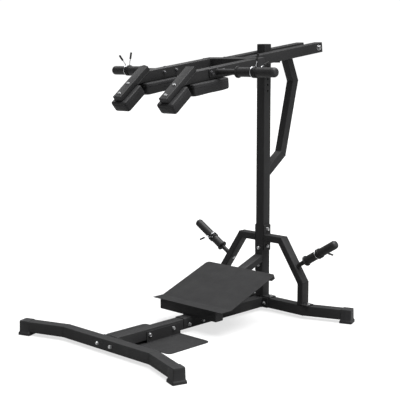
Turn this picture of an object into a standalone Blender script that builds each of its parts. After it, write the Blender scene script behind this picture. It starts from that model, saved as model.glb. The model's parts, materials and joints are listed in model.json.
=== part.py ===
"""Leverage squat machine: a floor frame with a mast, a pivoting lever with four pads,
and four plate horns with spring collars. Metres, +Z up, -Y is the side where the user
steps in, +X is the machine's right side seen from there. Origin: floor, box centre."""

import math

import bmesh
import bpy
from mathutils import Matrix, Vector

# ---------------------------------------------------------------- driving dimensions
TUBE = 0.060                    # side of the main square tube
FLAT = 0.040                    # short side of the 60 x 40 tube
THIN = 0.030                    # short side of the 60 x 30 tube of the pad arms
WALL = 0.0025                   # tube wall
EDGE = 0.004                    # corner radius along the tubes
PLATE = 0.006                   # flange plates
SHEET = 0.004                   # foot plate, floor plate and saddle
GAP = 0.0003                    # clearance between pieces that touch

MAST_Y = 0.4330                 # front face of the mast
MAST_TOP = 1.577
FLOOR_GAP = 0.018               # under the floor tubes, held up by the feet
BASE_TOP = FLOOR_GAP + TUBE

BEAM_LENGTH = 1.167             # from front tube to rear tube
FRONT_BEND_X = 0.343            # where the front tube turns forward
FRONT_END = (0.608, 0.090)      # its end: sideways, and forward of the straight middle
REAR_BEND_X = 0.323
REAR_END = (0.584, 0.098)

FOOT_LENGTH, FOOT_WIDTH, FOOT_TOP = 0.062, 0.066, 0.081
FOOT_RIM = (0.080, 0.078, 0.016)

LEG_TOP_Z = 0.439               # middle line of the legs where they leave the mast
LEG_SHOULDER_X = 0.154
LEG_FOOT_X, LEG_KNEE_Z = 0.309, 0.207

PIVOT_Y, PIVOT_Z = 0.422, 1.560     # behind the mast's front face, above the floor
LEVER_TILT = math.radians(7.5)      # the lever slopes down to the front at rest
PIVOT_BOLT_R = 0.008
BUSH_R, SLEEVE_R = 0.0127, 0.020

REAR_BAR_X = 0.070              # middle of each rear bar of the lever
FRONT_BAR_X = 0.175             # middle of each front bar, and of its arm and pads
LEVER_TAIL = 0.035              # behind the pivot
CROSS_REAR, CROSS_FRONT = 0.637, 0.697
LEVER_HALF_WIDTH = FRONT_BAR_X + TUBE / 2
ARM_TOP = (-1.1908, 0.0569)     # upper front edge of the arm, in the lever's Y and Z
ARM_TILT = math.radians(31.2)
ARM_LENGTH = 0.251
PAD_WIDTH, PAD_THICK = 0.116, 0.064
REAR_PAD = (0.962, 1.234)       # distances from the pivot
FRONT_PAD_LENGTH = 0.155
PAD_OVERHANG = 0.020            # beyond the arm's lower end

SLEEVE_OUT_R = 0.025            # fits plates with a 50 mm hole
HORN_FLANGE_R, HORN_FLANGE = 0.0310, 0.009
UPPER_HORN = {"out": 0.406, "flange": 0.146, "post": 0.0155}
UPPER_HORN_AT = (-1.025, 0.006)     # in the lever's Y and Z
STORAGE_HORN = {"out": 0.318, "flange": 0.068, "post": 0.0130}
STORAGE_HORN_Z = 0.291
STORAGE_HORN_RISE = math.radians(31.5)
COLLAR_AT = {                   # along the horn from its root, and the turn of the handles
    "upper_right": (0.264, math.radians(-49)),
    "upper_left": (0.279, math.radians(-7)),
    "storage_right": (0.177, math.radians(-88)),
    "storage_left": (0.160, math.radians(-79)),
}
COIL_R, WIRE_R, COIL_TURNS, COIL_PITCH = 0.0278, 0.0022, 5, 0.0054
GRIP_R, GRIP_LENGTH = 0.0056, 0.038
HANDLE_LENGTH, HANDLE_SPREAD = 0.074, math.radians(26)

STEP_HALF_WIDTH = 0.257         # floor plate under the beam
STEP_Y = (-1.009, -0.700)
FLANGE_Y = (-0.956, -0.704)

PLATE_HALF_WIDTH = 0.267        # inclined foot plate
PLATE_REAR = (-0.170, 0.282)    # top surface at the rear edge, from the mast's front face
PLATE_FOLD = (-0.546, 0.145)    # where the slope meets the level lip
PLATE_LIP_Y = -0.626
TOE_TUBE_Y = -0.587
TOE_TUBE_HALF = 0.214
SADDLE_Y = (-0.677, -0.487)

MAST_HOLES = [1.310, 1.3445, 1.379, 1.4135, 1.448]
HOLE_R = 0.006

# brace behind the mast: middle line in Y (from the mast's front face) and Z
BRACE = 0.050
BRACE_PATH = [(TUBE, 0.836), (0.189, 0.930), (0.299, 1.365), (0.235, 1.507)]
TOP_ARM_FRONT_Z = 1.505         # middle of the top arm where it leaves the mast

SIDES = {"left": -1, "right": 1}
QUARTER = math.pi / 2

# planes for flat outlines: rotation that lays the outline's X, Y into world axes
PLAN = (0, 0, 0)                        # outline X, Y -> world X, Y
FRONT_VIEW = (QUARTER, 0, 0)            # outline X, Y -> world X, Z
SIDE_VIEW = (QUARTER, 0, QUARTER)       # outline X, Y -> world Y, Z


# ---------------------------------------------------------------- scene and materials
for old in list(bpy.data.objects):
    bpy.data.objects.remove(old, do_unlink=True)

parts = bpy.data.collections.new("leverage_squat_machine")
cutters = bpy.data.collections.new("cutters")
bpy.context.scene.collection.children.link(parts)
bpy.context.scene.collection.children.link(cutters)


def make_material(name, color, roughness, metallic):
    material = bpy.data.materials.new(name)
    material.use_nodes = True
    shader = material.node_tree.nodes["Principled BSDF"]
    shader.inputs["Base Color"].default_value = (*color, 1)
    shader.inputs["Roughness"].default_value = roughness
    shader.inputs["Metallic"].default_value = metallic
    return material


PAINT = make_material("black_paint", (0.022, 0.022, 0.024), 0.55, 0.0)
DECK = make_material("deck_paint", (0.045, 0.045, 0.048), 0.7, 0.0)
PLASTIC = make_material("black_plastic", (0.015, 0.015, 0.016), 0.5, 0.0)
RUBBER = make_material("black_rubber", (0.012, 0.012, 0.012), 0.8, 0.0)
VINYL = make_material("black_vinyl", (0.02, 0.02, 0.021), 0.45, 0.0)
ZINC = make_material("zinc_steel", (0.62, 0.63, 0.65), 0.3, 1.0)
CHROME = make_material("spring_chrome", (0.75, 0.76, 0.78), 0.12, 1.0)
BRONZE = make_material("bronze", (0.48, 0.33, 0.14), 0.35, 1.0)


def place(obj, parent=None, location=(0, 0, 0), rotation=(0, 0, 0)):
    obj.parent = parent
    obj.location = location
    obj.rotation_euler = rotation
    return obj


def from_mast(y, z, x=0.0):
    """World place of a point given by its distance behind the mast's front face."""
    return Vector((x, MAST_Y + y, z))


def empty(name, **where):
    obj = bpy.data.objects.new(name, None)
    obj.empty_display_size = 0.05
    parts.objects.link(obj)
    return place(obj, **where)


def add_part(name, mesh, material, **where):
    obj = bpy.data.objects.new(name, mesh)
    obj.data.materials.append(material)
    parts.objects.link(obj)
    return place(obj, **where)


def combine(obj, mesh, operation, location=(0, 0, 0), rotation=(0, 0, 0)):
    """Join another shape to a part, or cut it out of the part, in the part's own frame."""
    operand = bpy.data.objects.new(obj.name + "_" + operation.lower(), mesh)
    operand.hide_render = True
    operand.display_type = "WIRE"
    cutters.objects.link(operand)
    place(operand, obj, location, rotation)
    modifier = obj.modifiers.new(operation.title(), "BOOLEAN")
    modifier.operation = operation
    modifier.object = operand
    return operand


def smooth(mesh):
    mesh.shade_smooth()
    mesh.set_sharp_from_angle(angle=math.radians(35))
    return mesh


# ---------------------------------------------------------------- basic shapes
def box_mesh(low, high, bevel=0.0, segments=2):
    mesh = bpy.data.meshes.new("box")
    shape = bmesh.new()
    bmesh.ops.create_cube(shape, size=1)
    size = Vector(high) - Vector(low)
    middle = (Vector(high) + Vector(low)) / 2
    bmesh.ops.scale(shape, vec=size, verts=shape.verts)
    bmesh.ops.translate(shape, vec=middle, verts=shape.verts)
    if bevel:
        bmesh.ops.bevel(shape, geom=shape.edges, offset=bevel, segments=segments, profile=0.5,
                        affect="EDGES")
    shape.to_mesh(mesh)
    shape.free()
    return mesh


def rod_mesh(radius, length, sides=24):
    """A cylinder along Z, centred."""
    mesh = bpy.data.meshes.new("rod")
    shape = bmesh.new()
    bmesh.ops.create_cone(shape, cap_ends=True, segments=sides, radius1=radius, radius2=radius,
                          depth=length)
    shape.to_mesh(mesh)
    shape.free()
    return mesh


def outline_mesh(outline, thickness):
    """A flat closed outline given a thickness, centred on its plane."""
    curve = bpy.data.curves.new("outline", "CURVE")
    curve.dimensions = "2D"
    curve.fill_mode = "BOTH"
    curve.extrude = thickness / 2
    spline = curve.splines.new("POLY")
    spline.points.add(len(outline) - 1)
    for point, (x, y) in zip(spline.points, outline):
        point.co = (x, y, 0, 1)
    spline.use_cyclic_u = True
    holder = bpy.data.objects.new("outline", curve)
    bpy.context.scene.collection.objects.link(holder)
    depsgraph = bpy.context.evaluated_depsgraph_get()
    mesh = bpy.data.meshes.new_from_object(holder.evaluated_get(depsgraph))
    bpy.data.objects.remove(holder, do_unlink=True)
    shape = bmesh.new()
    shape.from_mesh(mesh)
    bmesh.ops.remove_doubles(shape, verts=shape.verts, dist=0.00001)
    bmesh.ops.dissolve_limit(shape, angle_limit=math.radians(1), verts=shape.verts, edges=shape.edges)
    bmesh.ops.recalc_face_normals(shape, faces=shape.faces)
    shape.to_mesh(mesh)
    shape.free()
    return mesh


def rounded_outline(corners, radii, steps=4):
    """Replace each corner of an outline by an arc of the given radius."""
    result = []
    count = len(corners)
    for index, radius in enumerate(radii):
        corner = Vector(corners[index])
        before = (Vector(corners[index - 1]) - corner).normalized()
        after = (Vector(corners[(index + 1) % count]) - corner).normalized()
        if radius == 0:
            result.append(tuple(corner))
            continue
        half = before.angle(after) / 2
        centre = corner + (before + after).normalized() * radius / math.sin(half)
        start = corner + before * radius / math.tan(half) - centre
        end = corner + after * radius / math.tan(half) - centre
        for step in range(steps + 1):
            share = step / steps
            spoke = (start * (1 - share) + end * share).normalized() * radius
            result.append(tuple(centre + spoke))
    return result


def side_line(path, offset, start_cut, end_cut):
    """The path moved sideways by offset, mitred at bends and cut along the end directions."""
    points = [Vector(point) for point in path]
    along = [(b - a).normalized() for a, b in zip(points, points[1:])]
    across = [Vector((-d.y, d.x)) for d in along]
    line = []
    for index, point in enumerate(points):
        if index == 0 or index == len(points) - 1:
            cut = start_cut if index == 0 else end_cut
            direction, normal = along[min(index, len(along) - 1)], across[min(index, len(along) - 1)]
            cut = Vector(cut).normalized() if cut else normal
            line.append(point + cut * offset / cut.dot(normal))
        else:
            turn = across[index - 1] + across[index]
            line.append(point + turn * offset / (1 + across[index - 1].dot(across[index])))
    return line


def tube_outline(path, depth, start_cut, end_cut):
    left = side_line(path, depth / 2, start_cut, end_cut)
    right = side_line(path, -depth / 2, start_cut, end_cut)
    return [tuple(point) for point in left + right[::-1]]


def round_long_edges(mesh, path, depth, start_cut, end_cut):
    """Round the tube's four long edges, and leave its cut ends sharp."""
    sides = [side_line(path, sign * depth / 2, start_cut, end_cut) for sign in (1, -1)]
    shape = bmesh.new()
    shape.from_mesh(mesh)

    def on_side(vert, side):
        return any((Vector(vert.co[:2]) - point).length < 0.0001 for point in side)

    chosen = []
    for edge in shape.edges:
        level = abs(edge.verts[0].co.z - edge.verts[1].co.z) < 0.0001
        if level and any(all(on_side(vert, side) for vert in edge.verts) for side in sides):
            chosen.append(edge)
    bmesh.ops.bevel(shape, geom=chosen, offset=EDGE, segments=2, profile=0.5, affect="EDGES")
    shape.to_mesh(mesh)
    shape.free()


def extended(path, amount=0.02):
    """The path with its two ends pulled out, so that a bore runs clear of the tube's ends."""
    points = [Vector(point) for point in path]
    points[0] = points[0] - (points[1] - points[0]).normalized() * amount
    points[-1] = points[-1] + (points[-1] - points[-2]).normalized() * amount
    return points


def add_tube(name, path, depth=TUBE, width=TUBE, plane=PLAN, start_cut=None, end_cut=None,
             parent=None, location=(0, 0, 0), material=PAINT):
    """A hollow rectangular tube along a bent path that lies in one plane."""
    mesh = outline_mesh(tube_outline(path, depth, start_cut, end_cut), width)
    round_long_edges(mesh, path, depth, start_cut, end_cut)
    obj = add_part(name, mesh, material, parent=parent, location=location, rotation=plane)
    bore = tube_outline(extended(path), depth - 2 * WALL, start_cut, end_cut)
    combine(obj, outline_mesh(bore, width - 2 * WALL), "DIFFERENCE")
    return obj


def turned(name, profile, material, steps=24, closed=False, **where):
    """Turn a profile of (radius, height) points about Z; it runs down its outer side."""
    mesh = bpy.data.meshes.new(name)
    shape = bmesh.new()
    verts = [shape.verts.new((radius, 0, height)) for radius, height in profile]
    for first, second in zip(verts, verts[1:]):
        shape.edges.new((first, second))
    if closed:
        shape.edges.new((verts[-1], verts[0]))
    shape.to_mesh(mesh)
    shape.free()
    obj = add_part(name, mesh, material, **where)
    screw = obj.modifiers.new("Turn", "SCREW")
    screw.axis = "Z"
    screw.steps = steps
    screw.render_steps = steps
    screw.use_merge_vertices = True
    screw.merge_threshold = 0.00005
    screw.use_smooth_shade = True
    return obj


def arc(centre, radius, start, end, steps):
    """Points of an arc, angles in degrees."""
    angles = [math.radians(start + (end - start) * step / steps) for step in range(steps + 1)]
    return [(centre[0] + radius * math.cos(a), centre[1] + radius * math.sin(a)) for a in angles]


# ---------------------------------------------------------------- floor frame
def build_floor_tube(name, middle_y, bend_x, end, forward):
    """A floor tube, straight in the middle, with both ends swept forward or back."""
    end_x, sweep = end
    end_y = middle_y - sweep if forward else middle_y + sweep
    path = [(-end_x, end_y), (-bend_x, middle_y), (bend_x, middle_y), (end_x, end_y)]
    add_tube(name, path, location=(0, MAST_Y, FLOOR_GAP + TUBE / 2))
    for side, sign in SIDES.items():
        run = Vector((end_x - bend_x, end_y - middle_y))
        angle = math.atan2(run.y, run.x)
        heading = angle if sign > 0 else math.pi - angle
        build_foot(name.replace("_tube", "") + "_foot_" + side,
                   location=(sign * end_x, MAST_Y + end_y, 0), rotation=(0, 0, heading))


def build_foot(name, **where):
    """A plastic shoe over a tube end: local X points out along the tube, origin at the end."""
    length, width, height = FOOT_RIM
    wall = 0.006
    mesh = box_mesh((wall - FOOT_LENGTH, -FOOT_WIDTH / 2, 0.002), (wall, FOOT_WIDTH / 2, FOOT_TOP),
                    bevel=0.003, segments=1)
    obj = add_part(name, mesh, PLASTIC, **where)
    rim = box_mesh((wall + 0.006 - length, -width / 2, 0), (wall + 0.006, width / 2, height),
                   bevel=0.004, segments=1)
    combine(obj, rim, "UNION")
    half = TUBE / 2 + GAP
    pocket = box_mesh((-2 * FOOT_LENGTH, -half, FLOOR_GAP - GAP), (GAP, half, BASE_TOP + GAP))
    combine(obj, pocket, "DIFFERENCE")
    return obj


def build_beam():
    front, rear = -BEAM_LENGTH + PLATE + GAP, -PLATE - GAP
    path = [(front + GAP, 0), (rear - GAP, 0)]
    add_tube("centre_beam", path, plane=(0, 0, QUARTER),
             location=(0, MAST_Y, FLOOR_GAP + TUBE / 2))
    for name, y in (("beam_plate_front", front - GAP), ("beam_plate_rear", rear + PLATE)):
        mesh = box_mesh((-0.072, -PLATE, -TUBE / 2), (0.072, 0, TUBE / 2), bevel=0.001, segments=1)
        obj = add_part(name, mesh, PAINT, location=(0, MAST_Y + y, FLOOR_GAP + TUBE / 2))
        for sign in SIDES.values():
            combine(obj, rod_mesh(HOLE_R, 0.05, 12), "DIFFERENCE", (sign * 0.050, 0, 0),
                    (QUARTER, 0, 0))


def build_floor_plate():
    """The low step plate, with two upright flanges that hold it to the beam."""
    low, high = STEP_Y
    corners = [(-STEP_HALF_WIDTH, low), (STEP_HALF_WIDTH, low),
               (STEP_HALF_WIDTH, high), (-STEP_HALF_WIDTH, high)]
    mesh = outline_mesh(rounded_outline(corners, [0.028] * 4), SHEET)
    obj = add_part("floor_plate", mesh, DECK, location=(0, MAST_Y, SHEET / 2))
    inner = TUBE / 2 + GAP
    for sign in SIDES.values():
        xs = sorted((sign * inner, sign * (inner + SHEET)))
        flange = box_mesh((xs[0], FLANGE_Y[0], 0.001), (xs[1], FLANGE_Y[1], 0.066))
        combine(obj, flange, "UNION")


# ---------------------------------------------------------------- mast, legs and brace
def build_mast():
    half = TUBE / 2
    base = BASE_TOP + GAP + PLATE - 0.002
    mesh = outline_mesh([(-half, -half), (half, -half), (half, half), (-half, half)],
                        MAST_TOP - base)
    shape = bmesh.new()
    shape.from_mesh(mesh)
    upright = [edge for edge in shape.edges
               if abs(edge.verts[0].co.z - edge.verts[1].co.z) > 0.1]
    bmesh.ops.bevel(shape, geom=upright, offset=EDGE, segments=2, profile=0.5, affect="EDGES")
    shape.to_mesh(mesh)
    shape.free()
    middle_z = (MAST_TOP + base) / 2
    obj = add_part("mast", mesh, PAINT, location=from_mast(half, middle_z))
    bottom = BASE_TOP + GAP - middle_z
    deep = half - 0.0005
    flange = box_mesh((-0.085, -deep, bottom), (0.085, deep, bottom + PLATE), 0.001, 1)
    combine(obj, flange, "UNION")
    bore = box_mesh((-half + WALL, -half + WALL, bottom + PLATE),
                    (half - WALL, half - WALL, MAST_TOP - middle_z + 0.02))
    combine(obj, bore, "DIFFERENCE")
    holes = bpy.data.meshes.new("holes")
    shape = bmesh.new()
    for height in MAST_HOLES:
        lying = Matrix.Translation((0, 0, height - middle_z)) @ Matrix.Rotation(QUARTER, 4, "Y")
        bmesh.ops.create_cone(shape, cap_ends=True, segments=16, radius1=HOLE_R, radius2=HOLE_R,
                              depth=0.08, matrix=lying)
    shape.to_mesh(holes)
    shape.free()
    combine(obj, holes, "DIFFERENCE")
    cap = add_part("mast_cap", box_mesh((-half, -half, 0), (half, half, 0.004), 0.0015, 2),
                   PLASTIC, location=from_mast(half, MAST_TOP + GAP))
    plug = half - WALL - GAP
    combine(cap, box_mesh((-plug, -plug, -0.018), (plug, plug, 0.002)), "UNION")


def build_leg(side, sign):
    """One leg of the frame: out from the mast, slanting down, and upright onto the rear tube."""
    plate_face = TUBE / 2 + GAP + PLATE
    foot_z = BASE_TOP + GAP + PLATE
    path = [(plate_face - 0.002, LEG_TOP_Z), (LEG_SHOULDER_X, LEG_TOP_Z),
            (LEG_FOOT_X, LEG_KNEE_Z), (LEG_FOOT_X, foot_z - 0.002)]
    if sign < 0:
        path = [(-x, z) for x, z in path]
    mesh = outline_mesh(tube_outline(path, FLAT, None, None), TUBE)
    round_long_edges(mesh, path, FLAT, None, None)
    obj = add_part("leg_" + side, mesh, PAINT, location=from_mast(TUBE / 2, 0),
                   rotation=FRONT_VIEW)

    half = TUBE / 2 - 0.0005

    def add_plate(low, high):
        xs = sorted((sign * low[0], sign * high[0]))
        plate = box_mesh((xs[0], low[1], -half), (xs[1], high[1], half), 0.001, 1)
        combine(obj, plate, "UNION")

    add_plate((TUBE / 2 + GAP, LEG_TOP_Z - 0.078), (plate_face, LEG_TOP_Z + 0.078))
    add_plate((LEG_FOOT_X - 0.024, BASE_TOP + GAP), (LEG_FOOT_X + 0.058, foot_z))
    bore = tube_outline(extended(path, 0.001), FLAT - 2 * WALL, None, None)
    combine(obj, outline_mesh(bore, TUBE - 2 * WALL), "DIFFERENCE")
    vent = rod_mesh(0.008, 0.04, 10)
    combine(obj, vent, "DIFFERENCE", (sign * plate_face, LEG_TOP_Z, 0), (0, QUARTER, 0))


def build_brace():
    """Bent brace from the mast's back up to the underside of the top arm."""
    slope = (math.cos(LEVER_TILT), math.sin(LEVER_TILT))
    path = [(BRACE_PATH[0][0] + GAP, BRACE_PATH[0][1])] + BRACE_PATH[1:]
    underside = TOP_ARM_FRONT_Z + (path[-1][0] - TUBE) * math.tan(LEVER_TILT)
    underside -= (FLAT / 2 + GAP) / math.cos(LEVER_TILT)
    path[-1] = (path[-1][0], underside)
    add_tube("rear_brace", path, depth=BRACE, width=BRACE, plane=SIDE_VIEW, start_cut=(0, 1),
             end_cut=(-slope[0], -slope[1]), location=(0, MAST_Y, 0))


def build_top_arm():
    """Arm from the mast's top back to the pivot sleeve at its end."""
    reach = PIVOT_Y - 0.012
    rise = math.tan(LEVER_TILT)
    start = (TUBE + GAP, TOP_ARM_FRONT_Z + GAP * rise)
    path = [start, (reach, TOP_ARM_FRONT_Z + (reach - TUBE) * rise)]
    mesh = outline_mesh(tube_outline(path, FLAT, (0, 1), None), TUBE)
    round_long_edges(mesh, path, FLAT, (0, 1), None)
    obj = add_part("top_arm", mesh, PAINT, location=(0, MAST_Y, 0), rotation=SIDE_VIEW)
    bore = tube_outline([(start[0] - 0.02, start[1] - 0.02 * rise), (reach - 0.03, path[1][1] - 0.03 * rise)],
                        FLAT - 2 * WALL, (0, 1), None)
    combine(obj, outline_mesh(bore, TUBE - 2 * WALL), "DIFFERENCE")
    sleeve_half = REAR_BAR_X - TUBE / 2 - 0.002
    combine(obj, rod_mesh(SLEEVE_R, 2 * sleeve_half, 32), "UNION", (PIVOT_Y, PIVOT_Z, 0))
    combine(obj, rod_mesh(BUSH_R + GAP, 0.1, 24), "DIFFERENCE", (PIVOT_Y, PIVOT_Z, 0))
    for side, sign in SIDES.items():
        flange_r, flange = 0.017, 0.0014
        profile = [(flange_r, flange), (flange_r, 0), (BUSH_R, 0), (BUSH_R, -0.024),
                   (PIVOT_BOLT_R + GAP, -0.024), (PIVOT_BOLT_R + GAP, flange)]
        turned("pivot_bush_" + side, profile, BRONZE, closed=True,
               location=from_mast(PIVOT_Y, PIVOT_Z, sign * (sleeve_half + GAP)),
               rotation=(0, sign * QUARTER, 0))


def channel_outline(inner, outer, low, high, floor):
    """A U-shaped section, open at the top, with walls from inner to outer."""
    return [(-outer, low), (outer, low), (outer, high), (inner, high), (inner, low + floor),
            (-inner, low + floor), (-inner, high), (-outer, high)]


def build_arm_bracket():
    """Channel on the mast's back round the top arm, with two wings that the lever rests on."""
    near, far = TUBE + GAP, TUBE + 0.077
    low, high = 1.474, 1.524
    inner = TUBE / 2 + 0.001
    outline = channel_outline(inner, inner + SHEET, low, high, SHEET)
    obj = add_part("arm_bracket", outline_mesh(outline, far - near), PAINT,
                   location=from_mast((near + far) / 2, 0), rotation=FRONT_VIEW)
    wing_top = low + SHEET + 0.0005
    wing = box_mesh((-0.074, low - 0.0005, -0.015), (0.074, wing_top, 0.015))
    middle = near + 0.016
    combine(obj, wing, "UNION", (0, 0, (near + far) / 2 - middle))
    for side, sign in SIDES.items():
        build_rest_pad(side, sign, middle - 0.013, middle + 0.013, wing_top + GAP)


def build_rest_pad(side, sign, front, rear, base):
    """Rubber wedge between the bracket's wing and the lever's rear bar."""
    def bar_underside(y):
        return PIVOT_Z - (PIVOT_Y - y) * math.tan(LEVER_TILT) - TUBE / 2 / math.cos(LEVER_TILT)

    outline = [(front, base), (rear, base), (rear, bar_underside(rear) - GAP),
               (front, bar_underside(front) - GAP)]
    add_part("rest_pad_" + side, outline_mesh(outline, 0.030), RUBBER,
             location=(sign * 0.057, MAST_Y, 0), rotation=SIDE_VIEW)


# ---------------------------------------------------------------- foot plate and its supports
def build_foot_plate():
    slope = Vector(PLATE_REAR) - Vector(PLATE_FOLD)
    angle = math.atan2(slope.y, slope.x)
    down = Vector((math.sin(angle), -math.cos(angle)))
    fold_drop = Vector((math.tan(angle / 2), -1)) * SHEET
    outline = [(PLATE_LIP_Y, PLATE_FOLD[1]), PLATE_FOLD, PLATE_REAR,
               tuple(Vector(PLATE_REAR) + down * SHEET), tuple(Vector(PLATE_FOLD) + fold_drop),
               (PLATE_LIP_Y, PLATE_FOLD[1] - SHEET)]
    mesh = outline_mesh(outline, 2 * PLATE_HALF_WIDTH)
    shape = bmesh.new()
    shape.from_mesh(mesh)
    corners = [edge for edge in shape.edges
               if edge.calc_length() < 1.5 * SHEET and all(v.co.x > PLATE_REAR[0] - 0.01 for v in edge.verts)
               and abs(edge.verts[0].co.z - edge.verts[1].co.z) < 0.0001]
    bmesh.ops.bevel(shape, geom=corners, offset=0.022, segments=4, profile=0.5, affect="EDGES")
    shape.to_mesh(mesh)
    shape.free()
    add_part("foot_plate", mesh, DECK, location=(0, MAST_Y, 0), rotation=SIDE_VIEW)
    build_plate_support(angle, down)


def build_plate_support(angle, down):
    """Sloping tube from the mast to the toe tube, with a cross tube under the plate's rear edge."""
    along = Vector((math.cos(angle), math.sin(angle)))
    middle = Vector(PLATE_REAR) + down * (SHEET + GAP + FLAT / 2)

    def at_y(y):
        return middle + along * (y - middle.x) / along.x

    plate_back = -GAP
    path = [tuple(at_y(TOE_TUBE_Y + TUBE / 2 + GAP)), tuple(at_y(plate_back - PLATE + 0.002))]
    mesh = outline_mesh(tube_outline(path, FLAT, (0, 1), (0, 1)), TUBE)
    round_long_edges(mesh, path, FLAT, (0, 1), (0, 1))
    obj = add_part("plate_support", mesh, PAINT, location=(0, MAST_Y, 0), rotation=SIDE_VIEW)
    half = TUBE / 2 - 0.0005
    end_plate = box_mesh((plate_back - PLATE, 0.234, -half), (plate_back, 0.396, half), 0.001, 1)
    combine(obj, end_plate, "UNION")
    depth, drop, reach = 0.032, 0.022, PLATE_HALF_WIDTH - 0.010
    cross = box_mesh((-depth / 2, -drop, -reach), (depth / 2, 0, reach), 0.002, 1)
    rear_edge = Vector(PLATE_REAR) + down * (SHEET + GAP) - along * (depth / 2 + 0.004)
    combine(obj, cross, "UNION", (rear_edge.x, rear_edge.y, 0), (0, 0, angle))
    bore_path = [tuple(Vector(path[0]) - along * 0.02), tuple(at_y(plate_back - PLATE))]
    bore = tube_outline(bore_path, FLAT - 2 * WALL, (0, 1), (0, 1))
    combine(obj, outline_mesh(bore, TUBE - 2 * WALL), "DIFFERENCE")
    cross_bore = box_mesh((-depth / 2 + WALL, -drop + WALL, -PLATE_HALF_WIDTH - 0.02),
                          (depth / 2 - WALL, -WALL, PLATE_HALF_WIDTH + 0.02))
    combine(obj, cross_bore, "DIFFERENCE", (rear_edge.x, rear_edge.y, 0), (0, 0, angle))


def build_toe_tube():
    saddle_top = BASE_TOP + GAP + SHEET
    low, high = saddle_top + GAP, PLATE_FOLD[1] - SHEET - GAP
    path = [(-TOE_TUBE_HALF, (low + high) / 2), (TOE_TUBE_HALF, (low + high) / 2)]
    add_tube("toe_tube", path, depth=high - low, plane=FRONT_VIEW, location=from_mast(TOE_TUBE_Y, 0))
    inner, outer = TUBE / 2 + GAP, TUBE / 2 + GAP + SHEET
    section = channel_outline(inner, outer, -saddle_top, -FLOOR_GAP - 0.004, SHEET)
    add_part("saddle", outline_mesh(section, SADDLE_Y[1] - SADDLE_Y[0]), PAINT,
             location=from_mast((SADDLE_Y[0] + SADDLE_Y[1]) / 2, 0), rotation=(-QUARTER, 0, 0))


# ---------------------------------------------------------------- lever
def build_lever():
    """Everything that swings about the pivot, in the pivot's tilted frame: front is -Y."""
    pivot = empty("lever_pivot", location=from_mast(PIVOT_Y, PIVOT_Z), rotation=(LEVER_TILT, 0, 0))
    for side, sign in SIDES.items():
        bar = add_tube("lever_rear_bar_" + side, [(-CROSS_REAR + GAP, 0), (LEVER_TAIL, 0)],
                       plane=SIDE_VIEW, parent=pivot, location=(sign * REAR_BAR_X, 0, 0))
        combine(bar, rod_mesh(PIVOT_BOLT_R + GAP, 0.1, 24), "DIFFERENCE")
        build_front_bar(side, sign, pivot)
        build_pads(side, sign, pivot)
        horn = empty("upper_horn_root_" + side, parent=pivot,
                     location=(sign * (LEVER_HALF_WIDTH + GAP), *UPPER_HORN_AT),
                     rotation=(0, sign * QUARTER, 0))
        obj = build_horn("upper_horn_" + side, horn, UPPER_HORN)
        combine(obj, box_mesh((-0.022, -0.0625, 0), (0.022, 0.0625, PLATE), 0.0015, 1), "UNION")
        build_collar("upper_" + side, horn, sign)
    add_tube("lever_cross_tube", [(-LEVER_HALF_WIDTH, 0), (LEVER_HALF_WIDTH, 0)],
             parent=pivot, location=(0, -(CROSS_REAR + CROSS_FRONT) / 2, 0))
    build_pivot_bolt(pivot)


def build_front_bar(side, sign, pivot):
    """Front bar, cut at the slope of the arm, and the arm across its end."""
    arm_dir = Vector((-math.cos(ARM_TILT), -math.sin(ARM_TILT)))
    back = Vector((math.sin(ARM_TILT), -math.cos(ARM_TILT)))
    on_back_face = Vector(ARM_TOP) + back * (THIN + GAP)
    front_end = on_back_face + arm_dir * (on_back_face.y / -arm_dir.y)
    add_tube("lever_front_bar_" + side, [tuple(front_end), (-CROSS_FRONT - GAP, 0)],
             plane=SIDE_VIEW, start_cut=tuple(-arm_dir), parent=pivot,
             location=(sign * FRONT_BAR_X, 0, 0))
    top = Vector(ARM_TOP) + back * THIN / 2
    bottom = top + arm_dir * ARM_LENGTH
    add_tube("pad_arm_" + side, [tuple(top), tuple(bottom)], depth=THIN, plane=SIDE_VIEW,
             parent=pivot, location=(sign * FRONT_BAR_X, 0, 0))


def build_pads(side, sign, pivot):
    """Rear pad under the front bar, and front pad under the arm."""
    top = -TUBE / 2 - GAP
    rear = [(-REAR_PAD[1], top), (-REAR_PAD[0], top),
            (-REAR_PAD[0], top - PAD_THICK), (-REAR_PAD[1], top - PAD_THICK)]
    arm_dir = Vector((-math.cos(ARM_TILT), -math.sin(ARM_TILT)))
    back = Vector((math.sin(ARM_TILT), -math.cos(ARM_TILT)))
    arm_end = Vector(ARM_TOP) + arm_dir * (ARM_LENGTH + PAD_OVERHANG)
    low_near = arm_end + back * (THIN + GAP)
    high_near = low_near - arm_dir * FRONT_PAD_LENGTH
    outwards = back * PAD_THICK
    front = [tuple(low_near), tuple(high_near), tuple(high_near + outwards),
             tuple(low_near + outwards)]
    for name, outline in (("rear_pad_", rear), ("front_pad_", front)):
        mesh = outline_mesh(outline, PAD_WIDTH)
        shape = bmesh.new()
        shape.from_mesh(mesh)
        bmesh.ops.bevel(shape, geom=shape.edges, offset=0.010, segments=3, profile=0.5,
                        affect="EDGES")
        shape.to_mesh(mesh)
        shape.free()
        add_part(name + side, smooth(mesh), VINYL, parent=pivot, location=(sign * FRONT_BAR_X, 0, 0),
                 rotation=SIDE_VIEW)


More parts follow.
